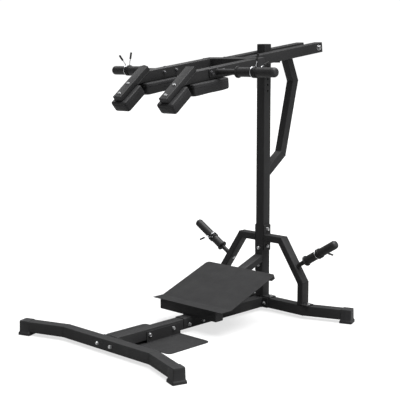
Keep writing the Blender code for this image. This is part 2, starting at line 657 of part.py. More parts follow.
def build_pivot_bolt(pivot):
    reach = REAR_BAR_X + TUBE / 2 + GAP
    bolt = add_part("pivot_bolt", rod_mesh(PIVOT_BOLT_R, 2 * reach + 0.026), ZINC, parent=pivot,
                    location=(0, 0, 0), rotation=(0, QUARTER, 0))
    combine(bolt, rod_mesh(0.0139, 0.010, 6), "UNION", (0, 0, reach + 0.0065))
    combine(bolt, rod_mesh(0.0165, 0.003, 24), "UNION", (0, 0, reach + 0.0015))
    nut = add_part("pivot_nut", rod_mesh(0.0139, 0.013, 6), ZINC, parent=pivot,
                   location=(-reach - 0.0065, 0, 0), rotation=(0, QUARTER, 0))
    combine(nut, rod_mesh(PIVOT_BOLT_R + GAP, 0.05, 24), "DIFFERENCE")


# ---------------------------------------------------------------- plate horns and collars
def build_horn(name, root, size):
    """A horn along its root's Z: a post with a flange, and a sleeve over the post's end."""
    out, flange, post = size["out"], size["flange"], size["post"]
    edge = 0.0015
    nose = 0.020
    profile = [(0, out - nose), (post - edge, out - nose), (post, out - nose - edge),
               (post, flange + HORN_FLANGE), (HORN_FLANGE_R - edge, flange + HORN_FLANGE),
               (HORN_FLANGE_R, flange + HORN_FLANGE - edge), (HORN_FLANGE_R, flange + edge),
               (HORN_FLANGE_R - edge, flange), (post, flange), (post, 0.001), (0, 0.001)]
    horn = turned(name, profile, PAINT, parent=root)
    base = flange + HORN_FLANGE + GAP
    tip = arc((SLEEVE_OUT_R - 0.016, out - 0.016), 0.016, 90, 0, 5)
    sleeve = [(0, out)] + tip + [(SLEEVE_OUT_R, base), (post + GAP, base),
                                 (post + GAP, out - nose + GAP), (0, out - nose + GAP)]
    turned(name.replace("horn", "sleeve"), sleeve, PAINT, parent=root)
    return horn


def build_collar(name, horn, sign):
    """A spring collar: a coil that grips the sleeve, two wire handles, and a grip on each."""
    along, turn = COLLAR_AT[name]
    root = empty("collar_root_" + name, parent=horn, location=(0, 0, along),
                 rotation=(0, 0, turn))
    half = COIL_TURNS * COIL_PITCH / 2
    up = sign * QUARTER + QUARTER           # the horn's local direction that points up

    def spoke(angle, radius, height):
        return Vector((radius * math.cos(angle), radius * math.sin(angle), height))

    def handle(end, lean):
        """From the coil's top outwards, leaning to one side."""
        foot = spoke(up, COIL_R, end)
        direction = spoke(up + lean, 1, 0)
        return foot, direction

    steps = 24
    coil = []
    for step in range(COIL_TURNS * steps + 1):
        turned_by = step / steps
        coil.append(spoke(up + 2 * math.pi * turned_by, COIL_R, COIL_PITCH * turned_by - half))
    foot_a, dir_a = handle(-half, HANDLE_SPREAD)
    foot_b, dir_b = handle(half, -HANDLE_SPREAD)
    path = [foot_a + dir_a * HANDLE_LENGTH, foot_a + dir_a * 0.006] + coil[1:-1]
    path += [foot_b + dir_b * 0.006, foot_b + dir_b * HANDLE_LENGTH]
    curve = bpy.data.curves.new("collar_" + name, "CURVE")
    curve.dimensions = "3D"
    curve.bevel_depth = WIRE_R
    curve.bevel_resolution = 1
    curve.use_fill_caps = True
    spline = curve.splines.new("POLY")
    spline.points.add(len(path) - 1)
    for point, place_at in zip(spline.points, path):
        point.co = (*place_at, 1)
    add_part("collar_spring_" + name, curve, CHROME, parent=root)
    bore = WIRE_R + GAP
    for label, foot, direction in (("a", foot_a, dir_a), ("b", foot_b, dir_b)):
        profile = [(0, GRIP_LENGTH), (GRIP_R - 0.001, GRIP_LENGTH), (GRIP_R, GRIP_LENGTH - 0.002),
                   (GRIP_R, 0), (bore, 0), (bore, GRIP_LENGTH - 0.003), (0, GRIP_LENGTH - 0.003)]
        start = foot + direction * (HANDLE_LENGTH - GRIP_LENGTH + 0.003 + GAP)
        turned("collar_grip_%s_%s" % (name, label), profile, RUBBER, steps=10, parent=root,
               location=start, rotation=direction.to_track_quat("Z", "Y").to_euler())


def build_storage_horns():
    """Horns on the outer face of the slanting part of each leg."""
    slant = Vector((LEG_FOOT_X - LEG_SHOULDER_X, LEG_KNEE_Z - LEG_TOP_Z)).normalized()
    outward = Vector((-slant.y, slant.x))
    share = (STORAGE_HORN_Z - LEG_TOP_Z) / slant.y
    seat = Vector((LEG_SHOULDER_X, LEG_TOP_Z)) + slant * share + outward * (FLAT / 2 + GAP)
    lean = math.atan2(outward.y, outward.x) - STORAGE_HORN_RISE
    washer = 0.004
    for side, sign in SIDES.items():
        root = empty("storage_horn_root_" + side,
                     location=from_mast(TUBE / 2, seat.y, sign * seat.x),
                     rotation=(0, sign * (QUARTER - STORAGE_HORN_RISE), 0))
        obj = build_horn("storage_horn_" + side, root, STORAGE_HORN)
        offset = (-sign * math.sin(lean) * washer / 2, 0, math.cos(lean) * washer / 2)
        combine(obj, rod_mesh(0.018, washer), "UNION", offset, (0, -sign * lean, 0))
        build_collar("storage_" + side, root, sign)


# ---------------------------------------------------------------- the whole machine
build_floor_tube("front_tube", -BEAM_LENGTH - TUBE / 2, FRONT_BEND_X, FRONT_END, forward=True)
build_floor_tube("rear_tube", TUBE / 2, REAR_BEND_X, REAR_END, forward=False)
build_beam()
build_floor_plate()
build_mast()
for leg_side, leg_sign in SIDES.items():
    build_leg(leg_side, leg_sign)
build_brace()
build_top_arm()
build_arm_bracket()
build_foot_plate()
build_toe_tube()
build_storage_horns()
build_lever()
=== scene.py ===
"""Looks of the leverage squat machine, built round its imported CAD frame.

Metres, in the frame's own axes: +Z up, -Y towards the pads, +X the machine's right side.
"""
import json
import math

import bmesh
import bpy
from mathutils import Matrix, Vector
from mathutils.bvhtree import BVHTree


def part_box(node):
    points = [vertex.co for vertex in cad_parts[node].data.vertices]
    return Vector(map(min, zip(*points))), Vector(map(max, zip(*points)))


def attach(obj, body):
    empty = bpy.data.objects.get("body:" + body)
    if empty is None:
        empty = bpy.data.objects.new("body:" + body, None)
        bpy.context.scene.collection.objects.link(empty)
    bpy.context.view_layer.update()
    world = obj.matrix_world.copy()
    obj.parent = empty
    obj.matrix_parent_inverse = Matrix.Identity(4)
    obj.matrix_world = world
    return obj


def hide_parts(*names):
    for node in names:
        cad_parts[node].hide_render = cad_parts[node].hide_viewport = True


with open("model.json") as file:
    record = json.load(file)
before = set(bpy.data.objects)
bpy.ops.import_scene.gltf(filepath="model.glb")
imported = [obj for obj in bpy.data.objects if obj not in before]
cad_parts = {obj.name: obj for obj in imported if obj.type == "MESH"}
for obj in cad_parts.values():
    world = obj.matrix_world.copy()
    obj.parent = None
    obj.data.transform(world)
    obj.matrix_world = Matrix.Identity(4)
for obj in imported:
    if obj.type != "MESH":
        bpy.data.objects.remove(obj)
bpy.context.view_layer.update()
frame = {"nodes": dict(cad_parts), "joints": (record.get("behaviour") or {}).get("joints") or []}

# ---------------------------------------------------------------- dimensions of the CAD frame
SIDES = {"left": -1, "right": 1}
RIGHT, REAR, UP = Vector((1, 0, 0)), Vector((0, 1, 0)), Vector((0, 0, 1))
QUARTER = math.pi / 2
TUBE, FLAT, THIN, BRACE = 0.060, 0.040, 0.030, 0.050
WALL, EDGE, GAP = 0.0025, 0.004, 0.0003
PLATE, SHEET = 0.006, 0.004
PLATE_HALF = TUBE / 2 - 0.0005
FLOOR_GAP = 0.018
FLOOR_TUBE_Z, BASE_TOP = FLOOR_GAP + TUBE / 2, FLOOR_GAP + TUBE

MAST_Y, MAST_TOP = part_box("mast")[0].y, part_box("mast")[1].z
MID_Y = MAST_Y + TUBE / 2
MAST_HOLES = [1.310 + 0.0345 * step for step in range(5)]
HOLE_R = 0.006

BEAM_LENGTH = 1.167
FRONT_BEND_X, FRONT_END = 0.343, (0.608, 0.090)
REAR_BEND_X, REAR_END = 0.323, (0.584, 0.098)

LEG_TOP_Z, LEG_SHOULDER_X = 0.439, 0.154
LEG_FOOT_X, LEG_KNEE_Z = 0.309, 0.207

LEVER_JOINT = next(joint for joint in frame["joints"] if joint["type"] == "hinge")
PIVOT = Vector(LEVER_JOINT["pos_m"])
PIVOT_Y, PIVOT_Z = PIVOT.y - MAST_Y, PIVOT.z
LEVER_TILT = math.radians(7.5)
LEVER = Matrix.Translation(PIVOT) @ Matrix.Rotation(LEVER_TILT, 4, "X")
REAR_BAR_X, FRONT_BAR_X, LEVER_TAIL = 0.070, 0.175, 0.035
CROSS_REAR, CROSS_FRONT = 0.637, 0.697
LEVER_HALF_WIDTH = FRONT_BAR_X + TUBE / 2
ARM_TOP, ARM_TILT, ARM_LENGTH = Vector((-1.1908, 0.0569)), math.radians(31.2), 0.251
ARM_DIR = Vector((-math.cos(ARM_TILT), -math.sin(ARM_TILT)))
ARM_BACK = Vector((math.sin(ARM_TILT), -math.cos(ARM_TILT)))
PAD_WIDTH, PAD_OVERHANG = 0.116, 0.020
REAR_PAD, FRONT_PAD_LENGTH = (0.962, 1.234), 0.155
SLEEVE_R, BUSH_R = 0.020, 0.0127
BOLT_REACH = REAR_BAR_X + TUBE / 2 + GAP

SLEEVE_OUT_R, HORN_FLANGE_R, HORN_FLANGE = 0.025, 0.031, 0.009
UPPER_HORN = {"out": 0.406, "flange": 0.146, "post": 0.0155}
UPPER_HORN_AT = (-1.025, 0.006)
STORAGE_HORN = {"out": 0.318, "flange": 0.068, "post": 0.0130}
STORAGE_HORN_Z, STORAGE_HORN_RISE = 0.291, math.radians(31.5)
COLLARS = {
    "upper_right": (0.264, math.radians(-49)),
    "upper_left": (0.279, math.radians(-7)),
    "storage_right": (0.177, math.radians(-88)),
    "storage_left": (0.160, math.radians(-79)),
}
COIL_R, WIRE_R, COIL_TURNS, COIL_PITCH = 0.0278, 0.0022, 5, 0.0054
GRIP_R, GRIP_LENGTH = 0.0056, 0.038
HANDLE_LENGTH, HANDLE_SPREAD = 0.074, math.radians(26)

STEP_HALF_WIDTH, STEP_Y, FLANGE_Y = 0.257, (-1.009, -0.700), (-0.956, -0.704)
HUG_INNER, HUG_OUTER = TUBE / 2 + GAP, TUBE / 2 + GAP + SHEET
PLATE_HALF_WIDTH, PLATE_LIP_Y = 0.267, -0.626
PLATE_REAR, PLATE_FOLD = Vector((-0.170, 0.282)), Vector((-0.546, 0.145))
PLATE_ANGLE = math.atan2(PLATE_REAR.y - PLATE_FOLD.y, PLATE_REAR.x - PLATE_FOLD.x)
TOE_TUBE_Y, TOE_TUBE_HALF, SADDLE_Y = -0.587, 0.214, (-0.677, -0.487)
BRACE_PATH = [(TUBE, 0.836), (0.189, 0.930), (0.299, 1.365), (0.235, 1.507)]
TOP_ARM_FRONT_Z = 1.505

WELD_R, BEND_WELD_R = 0.0024, 0.0013
WASHER_THICK = 0.0018
SHARP, WELD_SHARP = math.radians(32), math.radians(60)
PLAN, FRONT_VIEW, SIDE_VIEW = "plan", "front", "side"


# ---------------------------------------------------------------- materials
WHITE = (1.0, 1.0, 1.0)


def shader_tree(name, color, roughness, metallic=0.0, specular=0.5):
    """A material, its node tree and its Principled shader."""
    material = bpy.data.materials.new(name)
    material.use_nodes = True
    shader = material.node_tree.nodes["Principled BSDF"]
    shader.inputs["Base Color"].default_value = (*color, 1)
    shader.inputs["Roughness"].default_value = roughness
    shader.inputs["Metallic"].default_value = metallic
    shader.inputs["Specular IOR Level"].default_value = specular
    return material, material.node_tree, shader


def add_node(tree, kind, inputs, **settings):
    """A shader node; each named input is given a value, or is fed by an output."""
    node = tree.nodes.new("ShaderNode" + kind)
    for setting, value in settings.items():
        setattr(node, setting, value)
    for name, value in inputs.items():
        if isinstance(value, bpy.types.NodeSocket):
            tree.links.new(value, node.inputs[name])
        else:
            node.inputs[name].default_value = value
    return node


def noise(tree, scale, detail=3.0, stretch=(1.0, 1.0, 1.0)):
    """Noise in the object's own metres, stretched along an axis if asked."""
    place = add_node(tree, "TexCoord", {}).outputs["Object"]
    place = add_node(tree, "Mapping", {"Vector": place, "Scale": stretch}).outputs["Vector"]
    inputs = {"Vector": place, "Scale": scale, "Detail": detail}
    return add_node(tree, "TexNoise", inputs).outputs["Fac"]


def cells(tree, scale, feature):
    place = add_node(tree, "TexCoord", {}).outputs["Object"]
    inputs = {"Vector": place, "Scale": scale}
    return add_node(tree, "TexVoronoi", inputs, feature=feature).outputs["Distance"]


def ramp(tree, source, stops):
    """Colours placed along a 0-1 value."""
    node = tree.nodes.new("ShaderNodeValToRGB")
    while len(node.color_ramp.elements) < len(stops):
        node.color_ramp.elements.new(0.5)
    for element, (place, color) in zip(node.color_ramp.elements, stops):
        element.position = place
        element.color = (*color, 1)
    tree.links.new(source, node.inputs["Fac"])
    return node.outputs["Color"]


def shades(tree, source, color, *stops):
    """One colour, darker and brighter along a 0-1 value; each stop is (place, factor)."""
    stops = [(place, [channel * factor for channel in color]) for place, factor in stops]
    return ramp(tree, source, stops)


def mix(tree, factor, first, second):
    inputs = {"Factor": factor, "A": first, "B": second}
    return add_node(tree, "Mix", inputs, data_type="RGBA").outputs["Result"]


def dress(tree, shader, tone, gloss, layers):
    """Feed a shader its colour, its roughness and its bumps of (height, strength, distance)."""
    tree.links.new(tone, shader.inputs["Base Color"])
    tree.links.new(gloss, shader.inputs["Roughness"])
    inputs = {}
    for height, strength, distance in layers:
        inputs.update({"Height": height, "Strength": strength, "Distance": distance})
        inputs["Normal"] = add_node(tree, "Bump", inputs).outputs["Normal"]
    tree.links.new(inputs["Normal"], shader.inputs["Normal"])


def powder_coat(name, color, grain, depth, rough_low, rough_high):
    """Baked powder paint: orange-peel skin, slight tone drift and a few dusty rubs."""
    material, tree, shader = shader_tree(name, color, rough_low, specular=0.18)
    drift = shades(tree, noise(tree, 6.0), color, (0.35, 0.86), (0.65, 1.14))
    speck = shades(tree, noise(tree, grain, 2.0), color, (0.30, 0.70), (0.75, 1.35))
    rubs = noise(tree, 30.0, 6.0, stretch=(1.0, 1.0, 0.25))
    rub_mask = shades(tree, rubs, WHITE, (0.66, 0.0), (0.80, 0.16))
    dust = shades(tree, rubs, color, (0.0, 2.2), (1.0, 3.0))
    tone = mix(tree, rub_mask, mix(tree, 0.45, drift, speck), dust)
    gloss = shades(tree, noise(tree, 14.0, 4.0), WHITE, (0.3, rough_low), (0.7, rough_high))
    dress(tree, shader, tone, gloss, [(noise(tree, grain, 3.0), 0.5, depth),
                                      (noise(tree, grain * 0.22, 2.0), 0.35, depth)])
    return material


def vinyl_leather(name, color):
    """Grained upholstery vinyl: pebbles with fine creases; the colour is darker in the creases and lighter on
    the pebble tops, a painted shade and a painted highlight.
    """
    material, tree, shader = shader_tree(name, color, 0.42, specular=0.12)
    creases = cells(tree, 420.0, "DISTANCE_TO_EDGE")
    # Colour darker at the crease lines and lighter on the pebble tops: painted shade and painted highlight.
    skin = shades(tree, creases, color, (0.0, 0.6), (0.12, 1.0), (0.5, 1.15))
    cloudy = shades(tree, noise(tree, 11.0), color, (0.3, 0.85), (0.7, 1.2))
    gloss = shades(tree, noise(tree, 40.0, 4.0), WHITE, (0.3, 0.36), (0.7, 0.50))
    dress(tree, shader, mix(tree, 0.5, skin, cloudy), gloss,
          [(cells(tree, 420.0, "F1"), 0.35, 0.0004), (noise(tree, 1500.0), 0.25, 0.0001)])
    return material


def moulded(name, color, rough_low, rough_high, grain, depth):
    """Moulded plastic or rubber with a fine eroded skin and faint flow marks."""
    material, tree, shader = shader_tree(name, color, rough_low, specular=0.25)
    flow = noise(tree, 16.0, 3.0, stretch=(1.0, 1.0, 0.3))
    gloss = shades(tree, noise(tree, 55.0, 4.0), WHITE, (0.3, rough_low), (0.7, rough_high))
    dress(tree, shader, shades(tree, flow, color, (0.3, 0.8), (0.7, 1.25)), gloss,
          [(noise(tree, grain, 2.0), 0.5, depth)])
    return material


def bare_metal(name, color, tint, rough_low, rough_high, streak):
    """Plated or turned metal: a tint that drifts, and fine streaks in the gloss."""
    material, tree, shader = shader_tree(name, color, rough_low, metallic=1.0)
    gloss = shades(tree, noise(tree, 240.0, 3.0, streak), WHITE, (0.3, rough_low), (0.7, rough_high))
    tone = ramp(tree, noise(tree, 60.0, 4.0), [(0.3, color), (0.7, tint)])
    dress(tree, shader, tone, gloss, [(noise(tree, 900.0, 2.0, streak), 0.3, 0.00006)])
    return material


PAINT = powder_coat("black_powder_coat", (0.024, 0.024, 0.0247), 850.0, 0.00035, 0.40, 0.52)
DECK = powder_coat("gritty_deck_coat", (0.0205, 0.0205, 0.0211), 520.0, 0.0009, 0.62, 0.78)
WELD = powder_coat("painted_weld", (0.022, 0.022, 0.0227), 600.0, 0.0003, 0.42, 0.52)
VINYL = vinyl_leather("grained_vinyl", (0.026, 0.026, 0.027))
THREAD = moulded("sewing_thread", (0.030, 0.030, 0.032), 0.60, 0.75, 2200.0, 0.0001)
PLASTIC = moulded("black_plastic", (0.022, 0.022, 0.023), 0.42, 0.55, 1300.0, 0.00012)
RUBBER = moulded("black_rubber", (0.013, 0.013, 0.013), 0.62, 0.80, 700.0, 0.0002)
# Dark wire for the coil turns away from the light: a painted shade, not a coating of the spring.
PAINTED_SHADE_WIRE = moulded("painted_shade_wire", (0.018, 0.018, 0.019), 0.30, 0.42, 900.0, 0.0001)
ALONG_Z = (1.0, 1.0, 6.0)
ZINC = bare_metal("zinc_plate", (0.55, 0.55, 0.56), (0.46, 0.47, 0.47), 0.28, 0.42, ALONG_Z)
BLACK_OXIDE = bare_metal("black_oxide", (0.11, 0.11, 0.115), (0.08, 0.08, 0.083), 0.42, 0.55, ALONG_Z)
CHROME = bare_metal("chrome_wire", (0.66, 0.67, 0.68), (0.58, 0.59, 0.61), 0.16, 0.28, (6.0, 1.0, 1.0))
BRONZE = bare_metal("sintered_bronze", (0.48, 0.33, 0.14), (0.38, 0.26, 0.12), 0.32, 0.45, (1.0, 1.0, 1.0))


# ---------------------------------------------------------------- meshes and pieces
def finish_mesh(shape, matrix=Matrix(), sharp=SHARP):
    """Turn a bmesh into mesh data in the frame's axes, smooth with sharp corners kept."""
    bmesh.ops.recalc_face_normals(shape, faces=shape.faces)
    bmesh.ops.transform(shape, matrix=matrix, verts=shape.verts)
    mesh = bpy.data.meshes.new("mesh")
    shape.to_mesh(mesh)
    shape.free()
    mesh.shade_smooth()
    mesh.set_sharp_from_angle(angle=sharp)
    return mesh


def piece(name, shape, material, body, nodes=(), matrix=Matrix()):
    """A finished piece that rides on a body and takes the place of its CAD nodes."""
    if isinstance(shape, bmesh.types.BMesh):
        shape = finish_mesh(shape, matrix, WELD_SHARP if material == WELD else SHARP)
    shape.name = name
    if not shape.materials:
        shape.materials.append(material)
    obj = bpy.data.objects.new(name, shape)
    bpy.context.scene.collection.objects.link(obj)
    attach(obj, body)
    if nodes:
        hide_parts(*nodes)
    return obj


def on_frame(name, shape, material, *nodes):
    piece(name, shape, material, "frame", nodes)


def on_lever(name, shape, material, *nodes):
    """A piece drawn in the lever's own axes: origin at the pivot, Y along the bars."""
    piece(name, shape, material, "lever", nodes, LEVER)


def made(add, *details, **more):
    """A new shape with one thing added to it."""
    shape = bmesh.new()
    add(shape, *details, **more)
    return shape


def evaluated_mesh(obj):
    bpy.context.view_layer.update()
    depsgraph = bpy.context.evaluated_depsgraph_get()
    return bpy.data.meshes.new_from_object(obj.evaluated_get(depsgraph))


def cut_out(shape, tool):
    """The shape less the tool, as mesh data."""
    body, cutter = (bpy.data.objects.new("cut", finish_mesh(part)) for part in (shape, tool))
    for obj in (body, cutter):
        bpy.context.scene.collection.objects.link(obj)
    modifier = body.modifiers.new("Cut", "BOOLEAN")
    modifier.operation = "DIFFERENCE"
    modifier.object = cutter
    result = evaluated_mesh(body)
    for obj in (body, cutter):
        bpy.data.objects.remove(obj, do_unlink=True)
    result.materials.clear()
    result.shade_smooth()
    result.set_sharp_from_angle(angle=SHARP)
    return result


def add_loft(shape, rings, closed=False):
    """Skin between rings of points of one count; the two ends are filled unless closed."""
    loops = [[shape.verts.new(point) for point in ring] for ring in rings]
    pairs = list(zip(loops, loops[1:]))
    if closed:
        pairs.append((loops[-1], loops[0]))
    for first, second in pairs:
        for index in range(len(first)):
            after = (index + 1) % len(first)
            shape.faces.new((first[index], first[after], second[after], second[index]))
    if not closed:
        shape.faces.new(loops[0][::-1])
        shape.faces.new(loops[-1])


def rounded_rect(width, height, radius, steps=4):
    """Points of a rectangle with round corners, centred."""
    points = []
    for turn, (x, y) in enumerate(((1, 1), (-1, 1), (-1, -1), (1, -1))):
        centre = (x * (width / 2 - radius), y * (height / 2 - radius))
        for step in range(steps + 1):
            angle = QUARTER * (turn + step / steps)
            points.append((centre[0] + radius * math.cos(angle), centre[1] + radius * math.sin(angle)))
    return points


def rounded_outline(corners, radii, steps=4):
    """Replace each corner of an outline by an arc of the given radius."""
    result = []
    for index, radius in enumerate(radii):
        corner = Vector(corners[index])
        before = (Vector(corners[index - 1]) - corner).normalized()
        after = (Vector(corners[(index + 1) % len(corners)]) - corner).normalized()
        half = before.angle(after) / 2
        centre = corner + (before + after).normalized() * radius / math.sin(half)
        start = corner + before * radius / math.tan(half) - centre
        end = corner + after * radius / math.tan(half) - centre
        for step in range(steps + 1):
            spoke = start.lerp(end, step / steps).normalized() * radius
            result.append(tuple(centre + spoke))
    return result


def round_section(point, side, up, radius, sides):
    """A ring of points round one point of a line."""
    turns = (2 * math.pi * step / sides for step in range(sides))
    return [point + (side * math.cos(turn) + up * math.sin(turn)) * radius for turn in turns]


def circle(matrix, radius, height, steps):
    """Points round local Z at a height."""
    return [matrix @ point for point in round_section(UP * height, RIGHT, REAR, radius, steps)]


def on_plane(plane, along, across, aside):
    """A point of a drawing plane; aside is square to the plane."""
    if plane == PLAN:
        return Vector((along, across, aside))
    if plane == FRONT_VIEW:
        return Vector((along, aside, across))
    return Vector((aside, along, across))


def side_line(path, offset, start_cut, end_cut):
    """The path moved sideways by offset, mitred at bends and cut along the end directions."""
    points = [Vector(point) for point in path]
    along = [(b - a).normalized() for a, b in zip(points, points[1:])]
    across = [Vector((-d.y, d.x)) for d in along]
    line = []
    for index, point in enumerate(points):
        if 0 < index < len(points) - 1:
            turn = across[index - 1] + across[index]
            line.append(point + turn * offset / (1 + across[index - 1].dot(across[index])))
        else:
            normal, cut = (across[-1], end_cut) if index else (across[0], start_cut)
            cut = Vector(cut).normalized() if cut else normal
            line.append(point + cut * offset / cut.dot(normal))
    return line


def tube_rings(path, depth, width, radius, plane, start_cut, end_cut, offset):
    """One ring of section points for each point of the path."""
    section = rounded_rect(depth, width, radius)
    lines = {sideways: side_line(path, sideways, start_cut, end_cut) for sideways, _ in section}
    return [[on_plane(plane, *lines[sideways][index], aside) + offset for sideways, aside in section]
            for index in range(len(path))]


def nudged(path, inwards):
    """The path with its two ends moved inwards along their own directions."""
    points = [Vector(point) for point in path]
    first = (points[1] - points[0]).normalized()
    last = (points[-2] - points[-1]).normalized()
    return [points[0] + first * inwards] + points[1:-1] + [points[-1] + last * inwards]


def add_tube(shape, path, depth=TUBE, width=TUBE, plane=PLAN, start_cut=None, end_cut=None,
             offset=(0, 0, 0)):
    """A hollow tube along a bent path, with its cut ends eased. Returns the rings at its bends."""
    ease, hole = 0.0005, 2 * WALL
    ends = (plane, start_cut, end_cut, Vector(offset))
    rim = tube_rings(path, depth - 2 * ease, width - 2 * ease, EDGE - ease, *ends)
    skin = tube_rings(nudged(path, ease), depth, width, EDGE, *ends)
    bore = tube_rings(path, depth - hole, width - hole, EDGE - WALL + ease, *ends)
    add_loft(shape, [rim[0]] + skin + [rim[-1]] + bore[::-1], closed=True)
    return skin[1:-1]


def add_bead(shape, points, normal, closed=True, radius=WELD_R):
    """A rippled weld bead along a flat line of points; normal is square to that line."""
    normal = Vector(normal).normalized()
    line = [Vector(point) for point in points]
    if closed:
        line.append(line[0])
    lengths = [(b - a).length for a, b in zip(line, line[1:])]
    total, spacing = sum(lengths), 0.0013
    count = max(4, round(total / spacing))
    rings = []
    for step in range(count if closed else count + 1):
        travelled = total * step / count
        index = 0
        while index < len(lengths) - 1 and travelled > lengths[index]:
            travelled -= lengths[index]
            index += 1
        ahead = (line[index + 1] - line[index]).normalized()
        swell = radius * (1 + 0.16 * math.sin(step * 2.1) + 0.05 * math.sin(step * 0.37))
        rings.append(round_section(line[index] + ahead * travelled, ahead.cross(normal), normal, swell, 6))
    add_loft(shape, rings, closed)


def weld_round(welds, centre, axis_a, axis_b, width=TUBE, height=TUBE, radius=WELD_R):
    """A bead round a tube where it meets a face."""
    centre, axis_a, axis_b = Vector(centre), Vector(axis_a), Vector(axis_b)
    ring = [centre + axis_a * x + axis_b * y for x, y in rounded_rect(width, height, EDGE, 2)]
    add_bead(welds, ring, axis_a.cross(axis_b), radius=radius)


def weld_bends(welds, rings, square):
    """A fine bead round each mitred bend of a tube that bends in the plane square to an axis."""
    for ring in rings:
        across = ring[len(ring) // 2] - ring[0]
        add_bead(welds, ring, square.cross(across - square * across.dot(square)), radius=BEND_WELD_R)


def add_slab(shape, matrix, width, height, thick, corner=0.003, ease=0.0007):
    """A plate lying on local Z = 0, with round corners and eased edges."""
    rings = []
    for inset, level in ((ease, 0.0), (0.0, ease), (0.0, thick - ease), (ease, thick)):
        outline = rounded_rect(width - 2 * inset, height - 2 * inset, corner - inset / 2)
        rings.append([matrix @ Vector((x, y, level)) for x, y in outline])
    add_loft(shape, rings)


def add_block(shape, low, high, corner=0.003, ease=0.0007, matrix=Matrix()):
    """A plate between two corners of a box, lying flat in the matrix's axes."""
    low, high = Vector(low), Vector(high)
    middle, size = (low + high) / 2, high - low
    matrix = matrix @ Matrix.Translation((middle.x, middle.y, low.z))
    add_slab(shape, matrix, *size, corner, ease)


def facing(point, direction, turn=0.0):
    """A frame at a point whose Z is the given direction."""
    rotation = Vector(direction).to_track_quat("Z", "Y").to_matrix().to_4x4()
    return Matrix.Translation(point) @ rotation @ Matrix.Rotation(turn, 4, "Z")


def frame_of(point, direction, up):
    """A frame at a point: Z along the direction, Y as near to up as can be."""
    z = Vector(direction).normalized()
    x = Vector(up).cross(z).normalized()
    rotation = Matrix((x, z.cross(x), z)).transposed().to_4x4()
    return Matrix.Translation(point) @ rotation


def add_turned(shape, matrix, profile, steps=48, closed=False):
    """Turn (radius, height) points about local Z."""
    add_loft(shape, [circle(matrix, radius, height, steps) for radius, height in profile], closed)


def arc(centre, radius, start, end, steps):
    """Points of an arc, angles in degrees."""
    angles = [math.radians(start + (end - start) * step / steps) for step in range(steps + 1)]
    return [(centre[0] + radius * math.cos(a), centre[1] + radius * math.sin(a)) for a in angles]


# ---------------------------------------------------------------- fasteners and plugs
def hexagon(matrix, flats, height, roundness, steps=36):
    """A ring from a hexagon (roundness 0) to its inner circle (1)."""
    ring = []
    for step in range(steps):
        turn = 2 * math.pi * step / steps
        bend = (turn % (math.pi / 3)) - math.pi / 6
        radius = flats / 2 / math.cos(bend) * (1 - roundness) + flats / 2 * 0.97 * roundness
        ring.append(matrix @ Vector((radius * math.cos(turn), radius * math.sin(turn), height)))
    return ring


def add_hexagon_stack(shape, matrix, washer, levels):
    """A washer and the rings of a hexagon head on it: (flats, height, roundness)."""
    ease = WASHER_THICK * 0.3
    add_turned(shape, matrix, [(washer - ease, 0), (washer, ease), (washer, WASHER_THICK - ease),
                               (washer - ease, WASHER_THICK)], 36)
    add_loft(shape, [hexagon(matrix, *level) for level in levels])


def add_bolt(shape, point, direction, turn=0.0, flats=0.017, head=0.0068, washer=0.0108):
    """A hexagon head on its washer, standing on a face."""
    top = WASHER_THICK + head
    add_hexagon_stack(shape, facing(point, direction, turn), washer, [
        (flats, WASHER_THICK * 0.6, 0.0), (flats, top - 0.0018, 0.0), (flats, top - 0.0008, 0.45),
        (flats, top, 1.0), (flats * 0.80, top, 1.0), (flats * 0.76, top - 0.0005, 1.0)])


def add_nut(shape, point, direction, turn=0.0, flats=0.017, thread=0.0048, washer=0.0108):
    """A lock nut on its washer, with the end of the bolt's thread."""
    matrix = facing(point, direction, turn)
    top = WASHER_THICK + 0.0075
    add_hexagon_stack(shape, matrix, washer, [
        (flats, WASHER_THICK * 0.6, 0.0), (flats, top - 0.0014, 0.0), (flats, top, 0.9),
        (flats * 0.84, top + 0.0012, 1.0), (flats * 0.78, top + 0.0024, 1.0),
        (flats * 0.62, top + 0.0026, 1.0)])
    profile = [(thread * 0.9, top)]
    for ridge in range(4):
        base = top + 0.0012 * ridge
        profile += [(thread * 0.9, base + 0.0002), (thread, base + 0.0008)]
    add_turned(shape, matrix, profile + [(thread * 0.75, top + 0.0056)], 20)


def fasteners(name, bolts, nuts=()):
    """One piece for the bolts of a joint: (point, direction) lists of heads and of nuts."""
    shape = bmesh.new()
    for index, (point, direction) in enumerate(bolts):
        add_bolt(shape, point, direction, turn=0.65 * index + 0.2)
    for index, (point, direction) in enumerate(nuts):
        add_nut(shape, point, direction, turn=0.9 * index + 0.4)
    on_frame(name, shape, ZINC)


def bolts_to_rear(name, spots, head_y, nut_y):
    """Bolts along Y at (x, z) spots, their faces measured from the mast's front."""
    fasteners(name, [((x, MAST_Y + head_y, z), -REAR) for x, z in spots],
              [((x, MAST_Y + nut_y, z), REAR) for x, z in spots])


def add_plug(shape, matrix, width, height, thick=0.0030):
    """A plastic plug's head over a tube's end, with a soft domed face."""
    levels = [(0.0006, 0.0), (0.0, 0.0005), (0.0, thick * 0.45), (0.0008, thick * 0.8),
              (0.0022, thick), (0.008, thick + 0.0004)]
    rings = []
    for inset, level in levels:
        outline = rounded_rect(width - 2 * inset, height - 2 * inset, max(EDGE - inset, 0.0015), 5)
        rings.append([matrix @ Vector((x, y, level)) for x, y in outline])
    add_loft(shape, rings)


